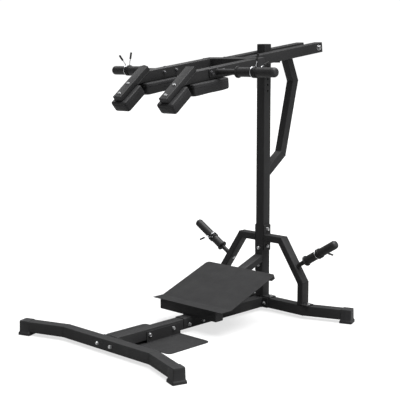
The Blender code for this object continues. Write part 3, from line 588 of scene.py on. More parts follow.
# ---------------------------------------------------------------- floor frame
def shoe(node, matrix):
    """A plastic shoe: local Z out along the tube, local Y up, origin on the floor at the end."""
    length, width, wall = 0.062, 0.066, 0.006
    levels = [  # height, how far it stands out beyond the body, corner
        (0.0000, 0.0050, 0.006), (0.0012, 0.0064, 0.007), (0.0110, 0.0058, 0.007),
        (0.0150, 0.0048, 0.007), (0.0180, 0.0022, 0.006), (0.0215, 0.0010, 0.006),
        (0.0700, -0.0002, 0.005), (0.0770, -0.0008, 0.005), (0.0798, -0.0022, 0.005),
        (0.0808, -0.0050, 0.004), (0.0810, -0.0100, 0.004),
    ]
    rings = []
    for height, out, corner in levels:
        outline = rounded_rect(width + 2 * out, length + 2 * out, corner, 5)
        rings.append([matrix @ Vector((x, height, y + wall - length / 2)) for x, y in outline])
    outline = rounded_rect(TUBE + 2 * GAP, TUBE + 2 * GAP, EDGE, 4)
    pocket = [[matrix @ Vector((x, y + FLOOR_TUBE_Z, z)) for x, y in outline] for z in (-0.1, 0.0005)]
    on_frame(node + "_shoe", cut_out(made(add_loft, rings), made(add_loft, pocket)), PLASTIC, node)


def floor_tube(name, middle_y, bend_x, end_x, end_y, welds):
    """A tube across the machine with both ends swept, in shoes."""
    path = [(-end_x, end_y), (-bend_x, middle_y), (bend_x, middle_y), (end_x, end_y)]
    shape = bmesh.new()
    weld_bends(welds, add_tube(shape, path, offset=(0, MAST_Y, FLOOR_TUBE_Z)), UP)
    on_frame(name, shape, PAINT, name)
    for side, sign in SIDES.items():
        heading = (sign * (end_x - bend_x), end_y - middle_y, 0)
        matrix = frame_of((sign * end_x, MAST_Y + end_y, 0), heading, UP)
        shoe(name.replace("tube", "foot_") + side, matrix)


def build_floor_frame():
    welds = bmesh.new()
    front_y, rear_y = -BEAM_LENGTH - TUBE / 2, TUBE / 2
    floor_tube("front_tube", front_y, FRONT_BEND_X, FRONT_END[0], front_y - FRONT_END[1], welds)
    floor_tube("rear_tube", rear_y, REAR_BEND_X, REAR_END[0], rear_y + REAR_END[1], welds)
    front, rear = -BEAM_LENGTH + PLATE + GAP, -PLATE - GAP
    path = [(front, FLOOR_TUBE_Z), (rear, FLOOR_TUBE_Z)]
    beam = made(add_tube, path, plane=SIDE_VIEW, offset=(0, MAST_Y, 0))
    on_frame("centre_beam_tube", beam, PAINT, "centre_beam")
    for name, y, inner in (("beam_plate_front", front, front), ("beam_plate_rear", rear + PLATE, rear)):
        matrix = Matrix.Translation((0, MAST_Y + y, FLOOR_TUBE_Z)) @ Matrix.Rotation(QUARTER, 4, "X")
        on_frame(name + "_flange", made(add_slab, matrix, 0.144, TUBE, PLATE, 0.004), PAINT, name)
        weld_round(welds, (0, MAST_Y + inner, FLOOR_TUBE_Z), RIGHT, UP)
    on_frame("floor_frame_welds", welds, WELD)
    spots = [(x, FLOOR_TUBE_Z) for x in (-0.050, 0.050)]
    bolts_to_rear("front_tube_bolts", spots, -BEAM_LENGTH - TUBE, front)
    bolts_to_rear("rear_tube_bolts", spots, rear - PLATE, TUBE)


def build_floor_plate():
    """The low step: a sheet on the floor with a flange on each side of the beam."""
    near, far = (MAST_Y + y for y in FLANGE_Y)
    shape, welds, spots = bmesh.new(), bmesh.new(), []
    add_block(shape, (-STEP_HALF_WIDTH, MAST_Y + STEP_Y[0], 0),
              (STEP_HALF_WIDTH, MAST_Y + STEP_Y[1], SHEET), 0.028, 0.0008)
    for sign in SIDES.values():
        out, outer = sign * RIGHT, sign * HUG_OUTER
        matrix = frame_of((sign * HUG_INNER, (near + far) / 2, 0.0345), out, UP)
        add_slab(shape, matrix, far - near, 0.063, SHEET, 0.005)
        spots += [((outer, MAST_Y + y, 0.045), out) for y in (-0.934, -0.758)]
        add_bead(welds, [(outer, near, SHEET), (outer, far, SHEET)], UP, closed=False)
    on_frame("floor_step_plate", shape, DECK, "floor_plate")
    on_frame("floor_step_welds", welds, WELD)
    fasteners("floor_step_bolts", spots[2:], spots[:2])


# ---------------------------------------------------------------- mast, legs and brace
def build_mast():
    base = BASE_TOP + GAP
    foot = base + PLATE
    tube = made(add_tube, [(0, foot), (0, MAST_TOP)], plane=FRONT_VIEW, offset=(0, MID_Y, 0))
    drill = bmesh.new()
    for height in MAST_HOLES:
        add_turned(drill, facing((-0.06, MID_Y, height), RIGHT), [(HOLE_R, 0), (HOLE_R, 0.12)], 28)
    on_frame("mast_tube", cut_out(tube, drill), PAINT, "mast")
    flange = made(add_block, (-0.085, MID_Y - PLATE_HALF, base), (0.085, MID_Y + PLATE_HALF, foot), 0.006)
    on_frame("mast_base_flange", flange, PAINT, "mast")
    welds = made(weld_round, (0, MID_Y, foot), RIGHT, REAR, TUBE, TUBE - 0.001)
    on_frame("mast_welds", welds, WELD)
    fasteners("mast_base_bolts", [((x, MID_Y, foot), UP) for x in (-0.066, 0.066)])
    matrix = Matrix.Translation((0, MID_Y, MAST_TOP + GAP))
    cap = made(add_plug, matrix, TUBE, TUBE, 0.0040)
    for side in range(4):
        add_block(cap, (-0.020, 0.0255, -0.018), (0.020, 0.0270, 0.001), 0.00045, 0.00018,
                  matrix @ Matrix.Rotation(side * QUARTER, 4, "Z"))
    on_frame("mast_end_cap", cap, PLASTIC, "mast_cap")


def build_legs():
    face, foot_z = TUBE / 2 + GAP, BASE_TOP + GAP + PLATE
    tops, foot_bolts = {}, []
    for side, sign in SIDES.items():
        out = sign * RIGHT
        path = [(face + PLATE, LEG_TOP_Z), (LEG_SHOULDER_X, LEG_TOP_Z),
                (LEG_FOOT_X, LEG_KNEE_Z), (LEG_FOOT_X, foot_z)]
        path = [(sign * x, z) for x, z in path]
        shape, welds = bmesh.new(), bmesh.new()
        weld_bends(welds, add_tube(shape, path, FLAT, plane=FRONT_VIEW, offset=(0, MID_Y, 0)), REAR)
        matrix = frame_of((sign * face, MID_Y, LEG_TOP_Z), out, UP)
        add_slab(shape, matrix, 2 * PLATE_HALF, 0.156, PLATE, 0.006)
        weld_round(welds, (path[0][0], MID_Y, LEG_TOP_Z), REAR, UP, TUBE - 0.002, FLAT)
        ends = sorted((sign * (LEG_FOOT_X - 0.024), sign * (LEG_FOOT_X + 0.058)))
        add_block(shape, (ends[0], MID_Y - PLATE_HALF, BASE_TOP + GAP),
                  (ends[1], MID_Y + PLATE_HALF, foot_z), 0.006)
        weld_round(welds, (sign * LEG_FOOT_X, MID_Y, foot_z), RIGHT, REAR, FLAT, TUBE - 0.002)
        on_frame("leg_%s_tube" % side, shape, PAINT, "leg_" + side)
        on_frame("leg_%s_welds" % side, welds, WELD)
        tops[side] = [((path[0][0], MID_Y, LEG_TOP_Z + rise), out) for rise in (0.052, -0.052)]
        foot_bolts.append(((sign * (LEG_FOOT_X + 0.041), MID_Y, foot_z), UP))
    fasteners("leg_top_bolts", tops["right"], tops["left"])
    fasteners("leg_foot_bolts", foot_bolts)


def build_brace_and_top_arm():
    slope = Vector((math.cos(LEVER_TILT), math.sin(LEVER_TILT)))
    rise = math.tan(LEVER_TILT)

    def arm_z(y):
        return TOP_ARM_FRONT_Z + (y - TUBE) * rise

    path = [Vector(point) for point in BRACE_PATH]
    path[0].x += GAP
    path[-1].y = arm_z(path[-1].x) - (FLAT / 2 + GAP) / slope.x
    shape, welds = bmesh.new(), bmesh.new()
    bends = add_tube(shape, path, BRACE, BRACE, SIDE_VIEW, (0, 1), tuple(-slope), (0, MAST_Y, 0))
    weld_bends(welds, bends, RIGHT)
    on_frame("rear_brace_tube", shape, PAINT, "rear_brace")
    lower, upper = (path[1] - path[0]).normalized(), (path[-1] - path[-2]).normalized()
    weld_round(welds, (0, MAST_Y + path[0].x, path[0].y), RIGHT, UP, BRACE, BRACE / abs(lower.x))
    long = BRACE / abs(upper.y * slope.x - upper.x * slope.y)
    weld_round(welds, (0, MAST_Y + path[-1].x, path[-1].y), RIGHT, (0, *slope), BRACE, long)

    reach = PIVOT_Y - 0.012
    ends = [(y, arm_z(y)) for y in (TUBE + GAP, reach)]
    arm = made(add_tube, ends, FLAT, TUBE, SIDE_VIEW, (0, 1), None, (0, MAST_Y, 0))
    notch_r = SLEEVE_R - 0.001
    notch = made(add_turned, facing(PIVOT - 0.06 * RIGHT, RIGHT), [(notch_r, 0), (notch_r, 0.12)])
    on_frame("top_arm_tube", cut_out(arm, notch), PAINT, "top_arm")
    weld_round(welds, (0, MAST_Y + ends[0][0], ends[0][1]), RIGHT, UP, TUBE, FLAT)
    half, ease, bore = REAR_BAR_X - TUBE / 2 - 0.002, 0.001, BUSH_R + GAP
    profile = [(bore, -half), (SLEEVE_R - ease, -half), (SLEEVE_R, ease - half),
               (SLEEVE_R, half - ease), (SLEEVE_R - ease, half), (bore, half)]
    sleeve = made(add_turned, facing(PIVOT, RIGHT), profile, closed=True)
    on_frame("pivot_sleeve", sleeve, PAINT, "top_arm")
    for y, lift in ((reach, -0.014375), (reach - 0.0035, 0.014375)):
        line = [(x, MAST_Y + y, PIVOT_Z + lift) for x in (-0.029, 0.029)]
        add_bead(welds, line, UP, closed=False)
    on_frame("brace_welds", welds, WELD)


def channel(inner, outer, low, high):
    """A U-shaped section, open at the top, with round bends."""
    bend, lip = 0.003, 0.001
    corners = [(-outer, low), (outer, low), (outer, high), (inner, high), (inner, low + SHEET),
               (-inner, low + SHEET), (-inner, high), (-outer, high)]
    return rounded_outline(corners, [bend + SHEET] * 2 + [lip] * 2 + [bend] * 2 + [lip] * 2)


def add_channel(shape, section, near, far):
    """Run a section along Y between two planes, with eased ends."""
    ease = 0.0004
    middle = sum(z for _, z in section) / len(section)
    add_loft(shape, [[Vector((x * share, MAST_Y + y, middle + (z - middle) * share)) for x, z in section]
                     for y, share in ((near, 0.985), (near + ease, 1), (far - ease, 1), (far, 0.985))])


def build_arm_bracket():
    near, far, low, high = TUBE + GAP, TUBE + 0.077, 1.474, 1.524
    inner = TUBE / 2 + 0.001
    outer, middle, wing_top = inner + SHEET, near + 0.016, low + SHEET + 0.0005
    shape = made(add_channel, channel(inner, outer, low, high), near, far)
    add_block(shape, (-0.074, MAST_Y + middle - 0.015, low - 0.0005),
              (0.074, MAST_Y + middle + 0.015, wing_top), 0.005)
    on_frame("arm_bracket_channel", shape, PAINT, "arm_bracket")
    welds = bmesh.new()
    for x in (-outer, outer):
        y = MAST_Y + near
        add_bead(welds, [(x, y, low + 0.003), (x, y, high - 0.002)], REAR, closed=False)
        add_bead(welds, [(x, y + 0.004, wing_top), (x, y + 0.028, wing_top)], UP, False, 0.0018)
    on_frame("arm_bracket_welds", welds, WELD)
    for side, sign in SIDES.items():
        rest_pad(side, sign, middle, wing_top + GAP)
    spots = [((sign * outer, MAST_Y + far - 0.020, 1.506), sign * RIGHT) for sign in (1, -1)]
    fasteners("arm_bracket_bolt", spots[:1], spots[1:])


def rest_pad(side, sign, middle, base):
    """A rubber wedge with rounded edges, grooved across its sides."""
    rings = []
    for inset, share in ((0.0012, 0.0), (0.0, 0.08), (0.0, 0.30), (0.0011, 0.38), (0.0011, 0.45),
                         (0.0, 0.53), (0.0, 0.92), (0.0012, 1.0)):
        ring = []
        for x, y in rounded_rect(0.030 - 2 * inset, 0.026 - 2 * inset, 0.004, 4):
            behind = PIVOT_Y - y - middle
            top = PIVOT_Z - behind * math.tan(LEVER_TILT) - TUBE / 2 / math.cos(LEVER_TILT) - GAP
            ring.append(Vector((sign * 0.057 + x, MAST_Y + y + middle, base + (top - base) * share)))
        rings.append(ring)
    on_frame("rest_wedge_" + side, made(add_loft, rings), RUBBER, "rest_pad_" + side)


# ---------------------------------------------------------------- foot plate and its supports
def build_foot_plate():
    """A bent sheet: level lip, rolled fold, and a slope with round rear corners."""
    slope = Vector((math.cos(PLATE_ANGLE), math.sin(PLATE_ANGLE)))
    fold_r, fold_steps, corner, corner_steps = 0.010, 6, 0.022, 8
    start = PLATE_FOLD - Vector((fold_r * math.tan(PLATE_ANGLE / 2), 0))
    line = [(Vector((PLATE_LIP_Y, PLATE_FOLD.y)), 0.0)]
    for step in range(fold_steps + 1):
        turn = PLATE_ANGLE * step / fold_steps
        line.append((start + Vector((math.sin(turn), 1 - math.cos(turn))) * fold_r, turn))
    for step in range(corner_steps + 1):
        back = corner * (1 - math.sin(QUARTER * step / corner_steps))
        line.append((PLATE_REAR - slope * back, PLATE_ANGLE))

    def half_width(point):
        short = max(corner - (PLATE_REAR - point).length, 0)
        return PLATE_HALF_WIDTH - corner + math.sqrt(max(corner ** 2 - short ** 2, 0))

    ease, rim = 0.0007, 0.004
    rings = []
    for index, (point, turn) in enumerate(line):
        down = Vector((math.sin(turn), -math.cos(turn)))
        end_ease = ease if index in (0, len(line) - 1) else 0
        edge = [(-rim, 0.0), (-ease, 0.0), (0.0, ease), (0.0, SHEET - ease), (-ease, SHEET), (-rim, SHEET)]
        ring = []
        for side, pairs in ((1, edge), (-1, edge[::-1])):
            for inset, drop in pairs:
                place = point + down * min(max(drop, end_ease), SHEET - end_ease)
                ring.append(Vector((side * (half_width(point) + inset), MAST_Y + place.x, place.y)))
        rings.append(ring)
    on_frame("foot_plate_sheet", made(add_loft, rings), DECK, "foot_plate")


def build_plate_support():
    down = Vector((math.sin(PLATE_ANGLE), -math.cos(PLATE_ANGLE)))
    along = Vector((math.cos(PLATE_ANGLE), math.sin(PLATE_ANGLE)))
    middle = PLATE_REAR + down * (SHEET + GAP + FLAT / 2)
    ends = [middle + along * (y - middle.x) / along.x for y in (TOE_TUBE_Y + TUBE / 2 + GAP, -GAP - PLATE)]
    shape, welds = bmesh.new(), bmesh.new()
    add_tube(shape, ends, FLAT, TUBE, SIDE_VIEW, (0, 1), (0, 1), (0, MAST_Y, 0))
    matrix = frame_of((0, MAST_Y - GAP, 0.315), -REAR, UP)
    add_slab(shape, matrix, 2 * PLATE_HALF, 0.162, PLATE, 0.006)
    for end, width in ((ends[1], TUBE - 0.002), (ends[0], TUBE)):
        weld_round(welds, (0, MAST_Y + end.x, end.y), RIGHT, UP, width, FLAT / along.x)
    depth, drop, reach = 0.032, 0.022, PLATE_HALF_WIDTH - 0.010
    edge = PLATE_REAR + down * (SHEET + GAP + drop / 2) - along * (depth / 2 + 0.004)
    centre, up = Vector((0, MAST_Y + edge.x, edge.y)), (0, *-down)
    cross = frame_of(centre, RIGHT, up)

    def section(x, shrink, radius, steps):
        outline = rounded_rect(depth - shrink, drop - shrink, radius, steps)
        return [cross @ Vector((u, v, x)) for u, v in outline]

    rings = [section(x, 0, 0.003, 4) for x in (-reach, reach)]
    add_loft(shape, rings + [section(x, 2 * WALL, 0.0015, 4) for x in (reach, -reach)], closed=True)
    on_frame("plate_support_tubes", shape, PAINT, "plate_support")
    plugs = bmesh.new()
    for sign in SIDES.values():
        add_bead(welds, section(sign * TUBE / 2, 0, 0.003, 2), RIGHT, radius=0.0018)
        add_plug(plugs, frame_of(centre + sign * reach * RIGHT, sign * RIGHT, up), depth, drop, 0.0024)
    on_frame("plate_support_welds", welds, WELD)
    bolts_to_rear("plate_support_bolts", [(0, 0.378), (0, 0.272)], -GAP - PLATE, TUBE)
    on_frame("plate_support_plugs", plugs, PLASTIC)


def build_toe_tube():
    saddle_top = BASE_TOP + GAP + SHEET
    low, high = saddle_top + GAP, PLATE_FOLD.y - SHEET - GAP
    middle_z, y = (low + high) / 2, MAST_Y + TOE_TUBE_Y
    path = [(-TOE_TUBE_HALF, middle_z), (TOE_TUBE_HALF, middle_z)]
    tube = made(add_tube, path, high - low, TUBE, FRONT_VIEW, offset=(0, y, 0))
    on_frame("toe_cross_tube", tube, PAINT, "toe_tube")
    plugs, welds = bmesh.new(), bmesh.new()
    for sign in SIDES.values():
        matrix = frame_of((sign * TOE_TUBE_HALF, y, middle_z), sign * RIGHT, UP)
        add_plug(plugs, matrix, TUBE, high - low)
        line = [(x, y + sign * TUBE / 2, low) for x in (-0.030, 0.030)]
        add_bead(welds, line, UP, closed=False)
    on_frame("toe_tube_plugs", plugs, PLASTIC)
    section = [(x, -z) for x, z in channel(HUG_INNER, HUG_OUTER, -saddle_top, -FLOOR_GAP - 0.004)]
    on_frame("saddle_channel", made(add_channel, section, *SADDLE_Y), PAINT, "saddle")
    bolts, nuts = ([((sign * HUG_OUTER, MAST_Y + at, 0.042), sign * RIGHT) for at in (-0.634, -0.525)]
                   for sign in (1, -1))
    fasteners("saddle_bolts", bolts, nuts)
    on_frame("toe_tube_welds", welds, WELD)


# ---------------------------------------------------------------- lever
def build_lever():
    on_back_face = ARM_TOP + ARM_BACK * (THIN + GAP)
    front_end = on_back_face + ARM_DIR * (on_back_face.y / -ARM_DIR.y)
    top = ARM_TOP + ARM_BACK * THIN / 2
    bottom = top + ARM_DIR * ARM_LENGTH
    middle = -(CROSS_REAR + CROSS_FRONT) / 2
    welds, plugs = bmesh.new(), bmesh.new()
    for side, sign in SIDES.items():
        bars = (  # node, x, rear end, front end, height, cut
            ("lever_rear_bar_", REAR_BAR_X, (-CROSS_REAR + GAP, 0), (LEVER_TAIL, 0), TUBE, None),
            ("lever_front_bar_", FRONT_BAR_X, front_end, (-CROSS_FRONT - GAP, 0), TUBE, tuple(-ARM_DIR)),
            ("pad_arm_", FRONT_BAR_X, top, bottom, THIN, None),
        )
        for node, x, start, end, height, cut in bars:
            offset = (sign * x, 0, 0)
            bar = made(add_tube, [start, end], height, TUBE, SIDE_VIEW, cut, offset=offset)
            on_lever(node + side + "_tube", bar, PAINT, node + side)
        for x, y in ((REAR_BAR_X, -CROSS_REAR), (FRONT_BAR_X, -CROSS_FRONT)):
            weld_round(welds, (sign * x, y, 0), RIGHT, UP)
        x = sign * FRONT_BAR_X
        weld_round(welds, (x, *front_end), RIGHT, (0, *-ARM_DIR), TUBE, TUBE / math.sin(ARM_TILT), 0.0022)
        add_plug(plugs, frame_of((sign * REAR_BAR_X, LEVER_TAIL, 0), REAR, UP), TUBE, TUBE)
        add_plug(plugs, frame_of((sign * LEVER_HALF_WIDTH, middle, 0), sign * RIGHT, UP), TUBE, TUBE)
        for point, direction in ((top, -ARM_DIR), (bottom, ARM_DIR)):
            add_plug(plugs, frame_of((x, *point), (0, *direction), (0, *-ARM_BACK)), TUBE, THIN, 0.0026)
    on_lever("lever_welds", welds, WELD)
    cross = made(add_tube, [(-LEVER_HALF_WIDTH, middle), (LEVER_HALF_WIDTH, middle)])
    on_lever("lever_cross_member", cross, PAINT, "lever_cross_tube")
    on_lever("lever_end_plugs", plugs, PLASTIC)


def build_lever_bolts():
    head = made(add_bolt, (BOLT_REACH - GAP, 0, 0), RIGHT, 0.3, 0.024, 0.0100, 0.0165)
    shank = [(0.0078, 0), (0.008, 0.001), (0.008, 2 * BOLT_REACH)]
    add_turned(head, facing((-BOLT_REACH, 0, 0), RIGHT), shank, 32)
    on_lever("pivot_hex_bolt", head, ZINC, "pivot_bolt")
    nut = made(add_nut, (-BOLT_REACH + GAP, 0, 0), -RIGHT, 0.1, 0.024, 0.0076, 0.0165)
    on_lever("pivot_lock_nut", nut, ZINC, "pivot_nut")
    arm_bolts, bar_bolts = bmesh.new(), bmesh.new()
    for sign in SIDES.values():
        x = sign * FRONT_BAR_X
        for distance in (0.025, 0.105):
            spot = ARM_TOP + ARM_DIR * (ARM_LENGTH - distance)
            add_bolt(arm_bolts, (x, *spot), (0, *-ARM_BACK), 9 * distance, 0.013, 0.0042, 0.0085)
        for distance in (1.035, 1.165):
            add_bolt(bar_bolts, (x, -distance, TUBE / 2), UP, 5 * distance, 0.013, 0.0030, 0.0085)
    on_lever("pad_arm_bolts", arm_bolts, ZINC)
    on_lever("pad_bar_bolts", bar_bolts, BLACK_OXIDE)


# ---------------------------------------------------------------- pads
PAD_LEVELS = [  # depth below the board, how far the outline is drawn in
    (0.0006, 0.0045), (0.0020, 0.0014), (0.005, 0.0002), (0.010, 0.0), (0.034, 0.0),
    (0.050, 0.0003), (0.056, 0.0014), (0.0595, 0.0036), (0.0615, 0.0068), (0.0625, 0.0120),
]
PIPING_DEPTH, STITCH_DEPTH = 0.0165, 0.0205


def pad_shape(low, high):
    """A pad's starting form between two Y values: local X is across the pad and Z up,
    with the board at Z = 0."""
    rings = []
    for depth, inset in PAD_LEVELS:
        inset += 0.0012
        outline = rounded_rect(PAD_WIDTH - 2 * inset, high - low - 2 * inset, 0.011, 6)
        rings.append([Vector((x, y + (low + high) / 2, -depth)) for x, y in outline])
    return finish_mesh(made(add_loft, rings))


def run_cloth(obj):
    """The cover blown up for twenty frames, held where it sits on its board."""
    held = [vert.index for vert in obj.data.vertices if vert.co.z > -0.0035]
    obj.vertex_groups.new(name="held").add(held, 1.0, "REPLACE")
    cloth = obj.modifiers.new("Cloth", "CLOTH")
    settings = cloth.settings
    settings.quality, settings.mass = 6, 0.25
    settings.tension_stiffness = settings.compression_stiffness = 30
    settings.shear_stiffness, settings.bending_stiffness = 12, 4
    settings.use_pressure, settings.uniform_pressure_force = True, 4.0
    settings.vertex_group_mass = "held"
    settings.effector_weights.gravity = 0
    cloth.collision_settings.use_collision = False
    for step in range(1, 21):
        bpy.context.scene.frame_set(step)
    blown = evaluated_mesh(obj)
    obj.modifiers.clear()
    bpy.context.scene.frame_set(1)
    return blown


def inflate(mesh, cap=0.003, voxel=0.004):
    """Swell the form by its cloth cover's move, outwards only and no further than the cap."""
    obj = bpy.data.objects.new("pad_sim", mesh)
    bpy.context.scene.collection.objects.link(obj)
    remesh = obj.modifiers.new("Remesh", "REMESH")
    remesh.mode = "VOXEL"
    remesh.voxel_size = voxel
    obj.data = evaluated_mesh(obj)
    obj.modifiers.clear()
    rest = [(vert.co.copy(), vert.normal.copy()) for vert in obj.data.vertices]
    blown = run_cloth(obj)
    for vert, end, (start, normal) in zip(obj.data.vertices, blown.vertices, rest):
        move = end.co - start
        move -= normal * min(move.dot(normal), 0)
        if move.length > cap:
            move = move.normalized() * cap
        vert.co = start + move
    subdivide = obj.modifiers.new("Smooth", "SUBSURF")
    subdivide.levels = 1
    subdivide.render_levels = 1
    result = evaluated_mesh(obj)
    bpy.data.objects.remove(obj, do_unlink=True)
    result.materials.clear()
    return result


def seam_line(mesh, depth, low, high, stand_out):
    """Points round the pad's side at a depth, found on its surface, and their outward directions."""
    shape = bmesh.new()
    shape.from_mesh(mesh)
    tree = BVHTree.FromBMesh(shape)
    shape.free()
    around, turn_in, spacing = 0.04, 0.055, 0.004
    outline = rounded_rect(PAD_WIDTH + around, high - low + around, 0.036, 14)
    line = [Vector((x, y + (low + high) / 2, -depth)) for x, y in outline]
    found = []
    for start, after in zip(line, line[1:] + line[:1]):
        count = max(1, round((after - start).length / spacing))
        for step in range(count):
            point = start.lerp(after, step / count)
            target = Vector((0, max(low + turn_in, min(high - turn_in, point.y)), -depth))
            hit, normal, _, _ = tree.ray_cast(point, (target - point).normalized())
            if hit:
                found.append((hit + normal * stand_out, normal))
    return found


def add_cord_loop(shape, points, radius, sides=8):
    """A smooth round cord along a closed flat loop at one level."""
    rings = []
    for before, point, after in zip(points[-1:] + points, points, points[1:] + points[:1]):
        ahead = (after - before).normalized()
        side = ahead.cross(UP).normalized()
        rings.append(round_section(point, side, side.cross(ahead), radius, sides))
    add_loft(shape, rings, closed=True)


def add_stitches(shape, spots):
    """Short raised stitches on the vinyl, one for each pair of neighbouring spots."""
    half_width, height, longest = 0.00065, 0.00045, 0.012
    for (start, normal), (end, _) in zip(spots[::2], spots[1::2]):
        ahead = end - start
        if ahead.length > longest:
            continue
        side = normal.cross(ahead.normalized()).normalized()
        add_loft(shape, [round_section(start.lerp(end, share), side * half_width, normal * height, size, 6)
                         for share, size in ((0.0, 0.25), (0.18, 0.9), (0.5, 1.1), (0.82, 0.9), (1.0, 0.25))])


def build_pad(kind, frame_at, low, high):
    """One pad form, used on both sides: vinyl, piping, stitches and the board's backing."""
    mesh = inflate(pad_shape(low, high))
    piping = [point for point, _ in seam_line(mesh, PIPING_DEPTH, low, high, 0.0002)]
    stitches = seam_line(mesh, STITCH_DEPTH, low, high, 0.0001)
    for side, sign in SIDES.items():
        matrix = frame_at(sign)
        copy = mesh.copy()
        copy.transform(matrix)
        copy.shade_smooth()
        node = "%s_pad_%s" % (kind, side)
        pad = piece(node + "_cushion", copy, VINYL, "lever", [node])
        lift = Matrix.Translation((0, (low + high) / 2, -0.0018))
        backing = made(add_slab, lift, PAD_WIDTH - 0.018, high - low - 0.018, 0.0020, 0.010, 0.0005)
        piece(node + "_piping", made(add_cord_loop, piping, 0.0010), VINYL, "lever", matrix=matrix)
        piece(node + "_stitching", made(add_stitches, stitches), THREAD, "lever", matrix=matrix)
        piece(node + "_backing", backing, PLASTIC, "lever", matrix=matrix)


def build_pads():
    """Rear pads under the front bars, and front pads under the arms."""
    under = ARM_TOP + ARM_DIR * (ARM_LENGTH + PAD_OVERHANG) + ARM_BACK * (THIN + GAP)

    def rear_frame(sign):
        return LEVER @ Matrix.Translation((sign * FRONT_BAR_X, 0, -TUBE / 2 - GAP))

    def front_frame(sign):
        """Local Y runs up the arm from the pad's lower end, local Z stands off the arm."""
        origin = Vector((sign * FRONT_BAR_X, *under))
        return LEVER @ Matrix.Translation(origin) @ Matrix.Rotation(ARM_TILT, 4, "X")

    build_pad("rear", rear_frame, -REAR_PAD[1], -REAR_PAD[0])
    build_pad("front", front_frame, 0.0, FRONT_PAD_LENGTH)


# ---------------------------------------------------------------- plate horns and collars
def horn_pieces(kind, side, matrix, size, body, seat):
    """A post with its flange, the sleeve over it, and the sleeve's end cap."""
    out, flange, post = size["out"], size["flange"], size["post"]
    edge, fillet, face = 0.0020, 0.003, flange + HORN_FLANGE
    profile = [(post, 0.0), (post, flange - fillet)]
    profile += arc((post + fillet, flange - fillet), fillet, 180, 90, 3)
    profile += arc((HORN_FLANGE_R - edge, flange + edge), edge, -90, 0, 4)
    profile += arc((HORN_FLANGE_R - edge, face - edge), edge, 0, 90, 4)
    profile += [(post, face), (post - 0.001, out - 0.022)]
    horn = made(add_turned, matrix, profile)
    weld = made(seat, horn)
    node = "%s_horn_%s" % (kind, side)
    piece(node + "_post", horn, PAINT, body, [node])
    sleeve, base, cap_at, radius = node.replace("horn", "sleeve"), face + GAP, out - 0.020, SLEEVE_OUT_R
    profile = [(post, base), (radius - 0.0012, base), (radius, base + 0.0012), (radius, cap_at - 0.0008),
               (radius - 0.0010, cap_at), (post, cap_at)]
    piece(sleeve + "_tube", made(add_turned, matrix, profile), PAINT, body, [sleeve])
    profile = [(0.012, cap_at), (radius - 0.0008, cap_at + 0.0002), (radius + 0.0002, cap_at + 0.0010)]
    profile += arc((radius - 0.016, out - 0.016), 0.0160, 0, 84, 9)
    profile += [(0.0035, out), (0.0028, out - 0.0006), (0.0006, out - 0.0007)]
    piece(sleeve + "_end_cap", made(add_turned, matrix, profile), PLASTIC, body)
    piece(node + "_weld", weld, WELD, body)


def add_ring_bead(shape, matrix, radius, height, size=WELD_R):
    """A weld bead round a post."""
    add_bead(shape, circle(matrix, radius, height, 40), matrix.to_3x3() @ UP, radius=size)


def add_wire(shape, points, radius, sides=10):
    """A round wire along a line, its section carried on without twist. Returns (face, station)."""
    rings = []
    side = (points[1] - points[0]).orthogonal().normalized()
    for before, point, after in zip(points[:1] + points, points, points[1:] + points[-1:]):
        ahead = (after - before).normalized()
        side = (side - ahead * side.dot(ahead)).normalized()
        section = round_section(point, side, ahead.cross(side), radius, sides)
        rings.append([shape.verts.new(spot) for spot in section])
    faces = []
    for station, (first, second) in enumerate(zip(rings, rings[1:])):
        for index in range(sides):
            after = (index + 1) % sides
            face = shape.faces.new((first[index], first[after], second[after], second[index]))
            faces.append((face, station))
    shape.faces.new(rings[0][::-1])
    shape.faces.new(rings[-1])
    return faces


def grip_profile():
    """A dipped grip with seven fine ridges and a round end."""
    profile = [(WIRE_R, -0.0005), (GRIP_R - 0.0014, 0.0), (GRIP_R - 0.0003, 0.0018), (GRIP_R, 0.005)]
    for ridge in range(7):
        level = 0.0085 + ridge * 0.0032
        profile += [(GRIP_R, level), (GRIP_R - 0.0005, level + 0.0008), (GRIP_R, level + 0.0016)]
    return profile + arc((GRIP_R - 0.0035, GRIP_LENGTH - 0.0035), 0.0035, 0, 80, 5)


def collar(name, horn, sign, body):
    """A sprung wire collar: five turns, two handles and a dipped grip on each.
    The turn at the machine's left (-X) end of each coil is bright chrome like the handles; the other turns
    are painted dark, a painted shade for chrome turns turned away from the light."""
    along, turn = COLLARS[name]
    root = horn @ Matrix.Translation((0, 0, along)) @ Matrix.Rotation(turn, 4, "Z")
    half, steps, bend = COIL_TURNS * COIL_PITCH / 2, 40, (0.012, 0.006)  # the wire's bends into the coil
    up = sign * QUARTER + QUARTER

    def spoke(angle, radius, height):
        return Vector((radius * math.cos(angle), radius * math.sin(angle), height))

    coil = [spoke(up + 2 * math.pi * step / steps, COIL_R, COIL_PITCH * step / steps - half)
            for step in range(COIL_TURNS * steps + 1)][2:-2]
    ends = {"a": (spoke(up, COIL_R, -half), spoke(up + HANDLE_SPREAD, 1, 0)),
            "b": (spoke(up, COIL_R, half), spoke(up - HANDLE_SPREAD, 1, 0))}
    first, last = ([foot + direction * reach for reach in (HANDLE_LENGTH, *bend)]
                   for foot, direction in ends.values())
    shape = bmesh.new()
    for face, station in add_wire(shape, [root @ point for point in first + coil + last[::-1]], WIRE_R):
        place = station - len(first)
        share = place if sign > 0 else len(coil) - place
        # Coil turns past the first, lit one take the dark wire as painted shade; the rest stays chrome.
        face.material_index = int(0 <= place <= len(coil) and share > steps * 1.05)
    mesh = finish_mesh(shape, sharp=math.pi)
    mesh.materials.append(CHROME)
    mesh.materials.append(PAINTED_SHADE_WIRE)
    node = "collar_spring_" + name
    piece(node + "_wire", mesh, CHROME, body, [node])
    for label, (foot, direction) in ends.items():
        matrix = root @ facing(foot + direction * (HANDLE_LENGTH - GRIP_LENGTH + 0.003), direction)
        node = "collar_grip_%s_%s" % (name, label)
        piece(node + "_sleeve", made(add_turned, matrix, grip_profile(), 24), RUBBER, body, [node])


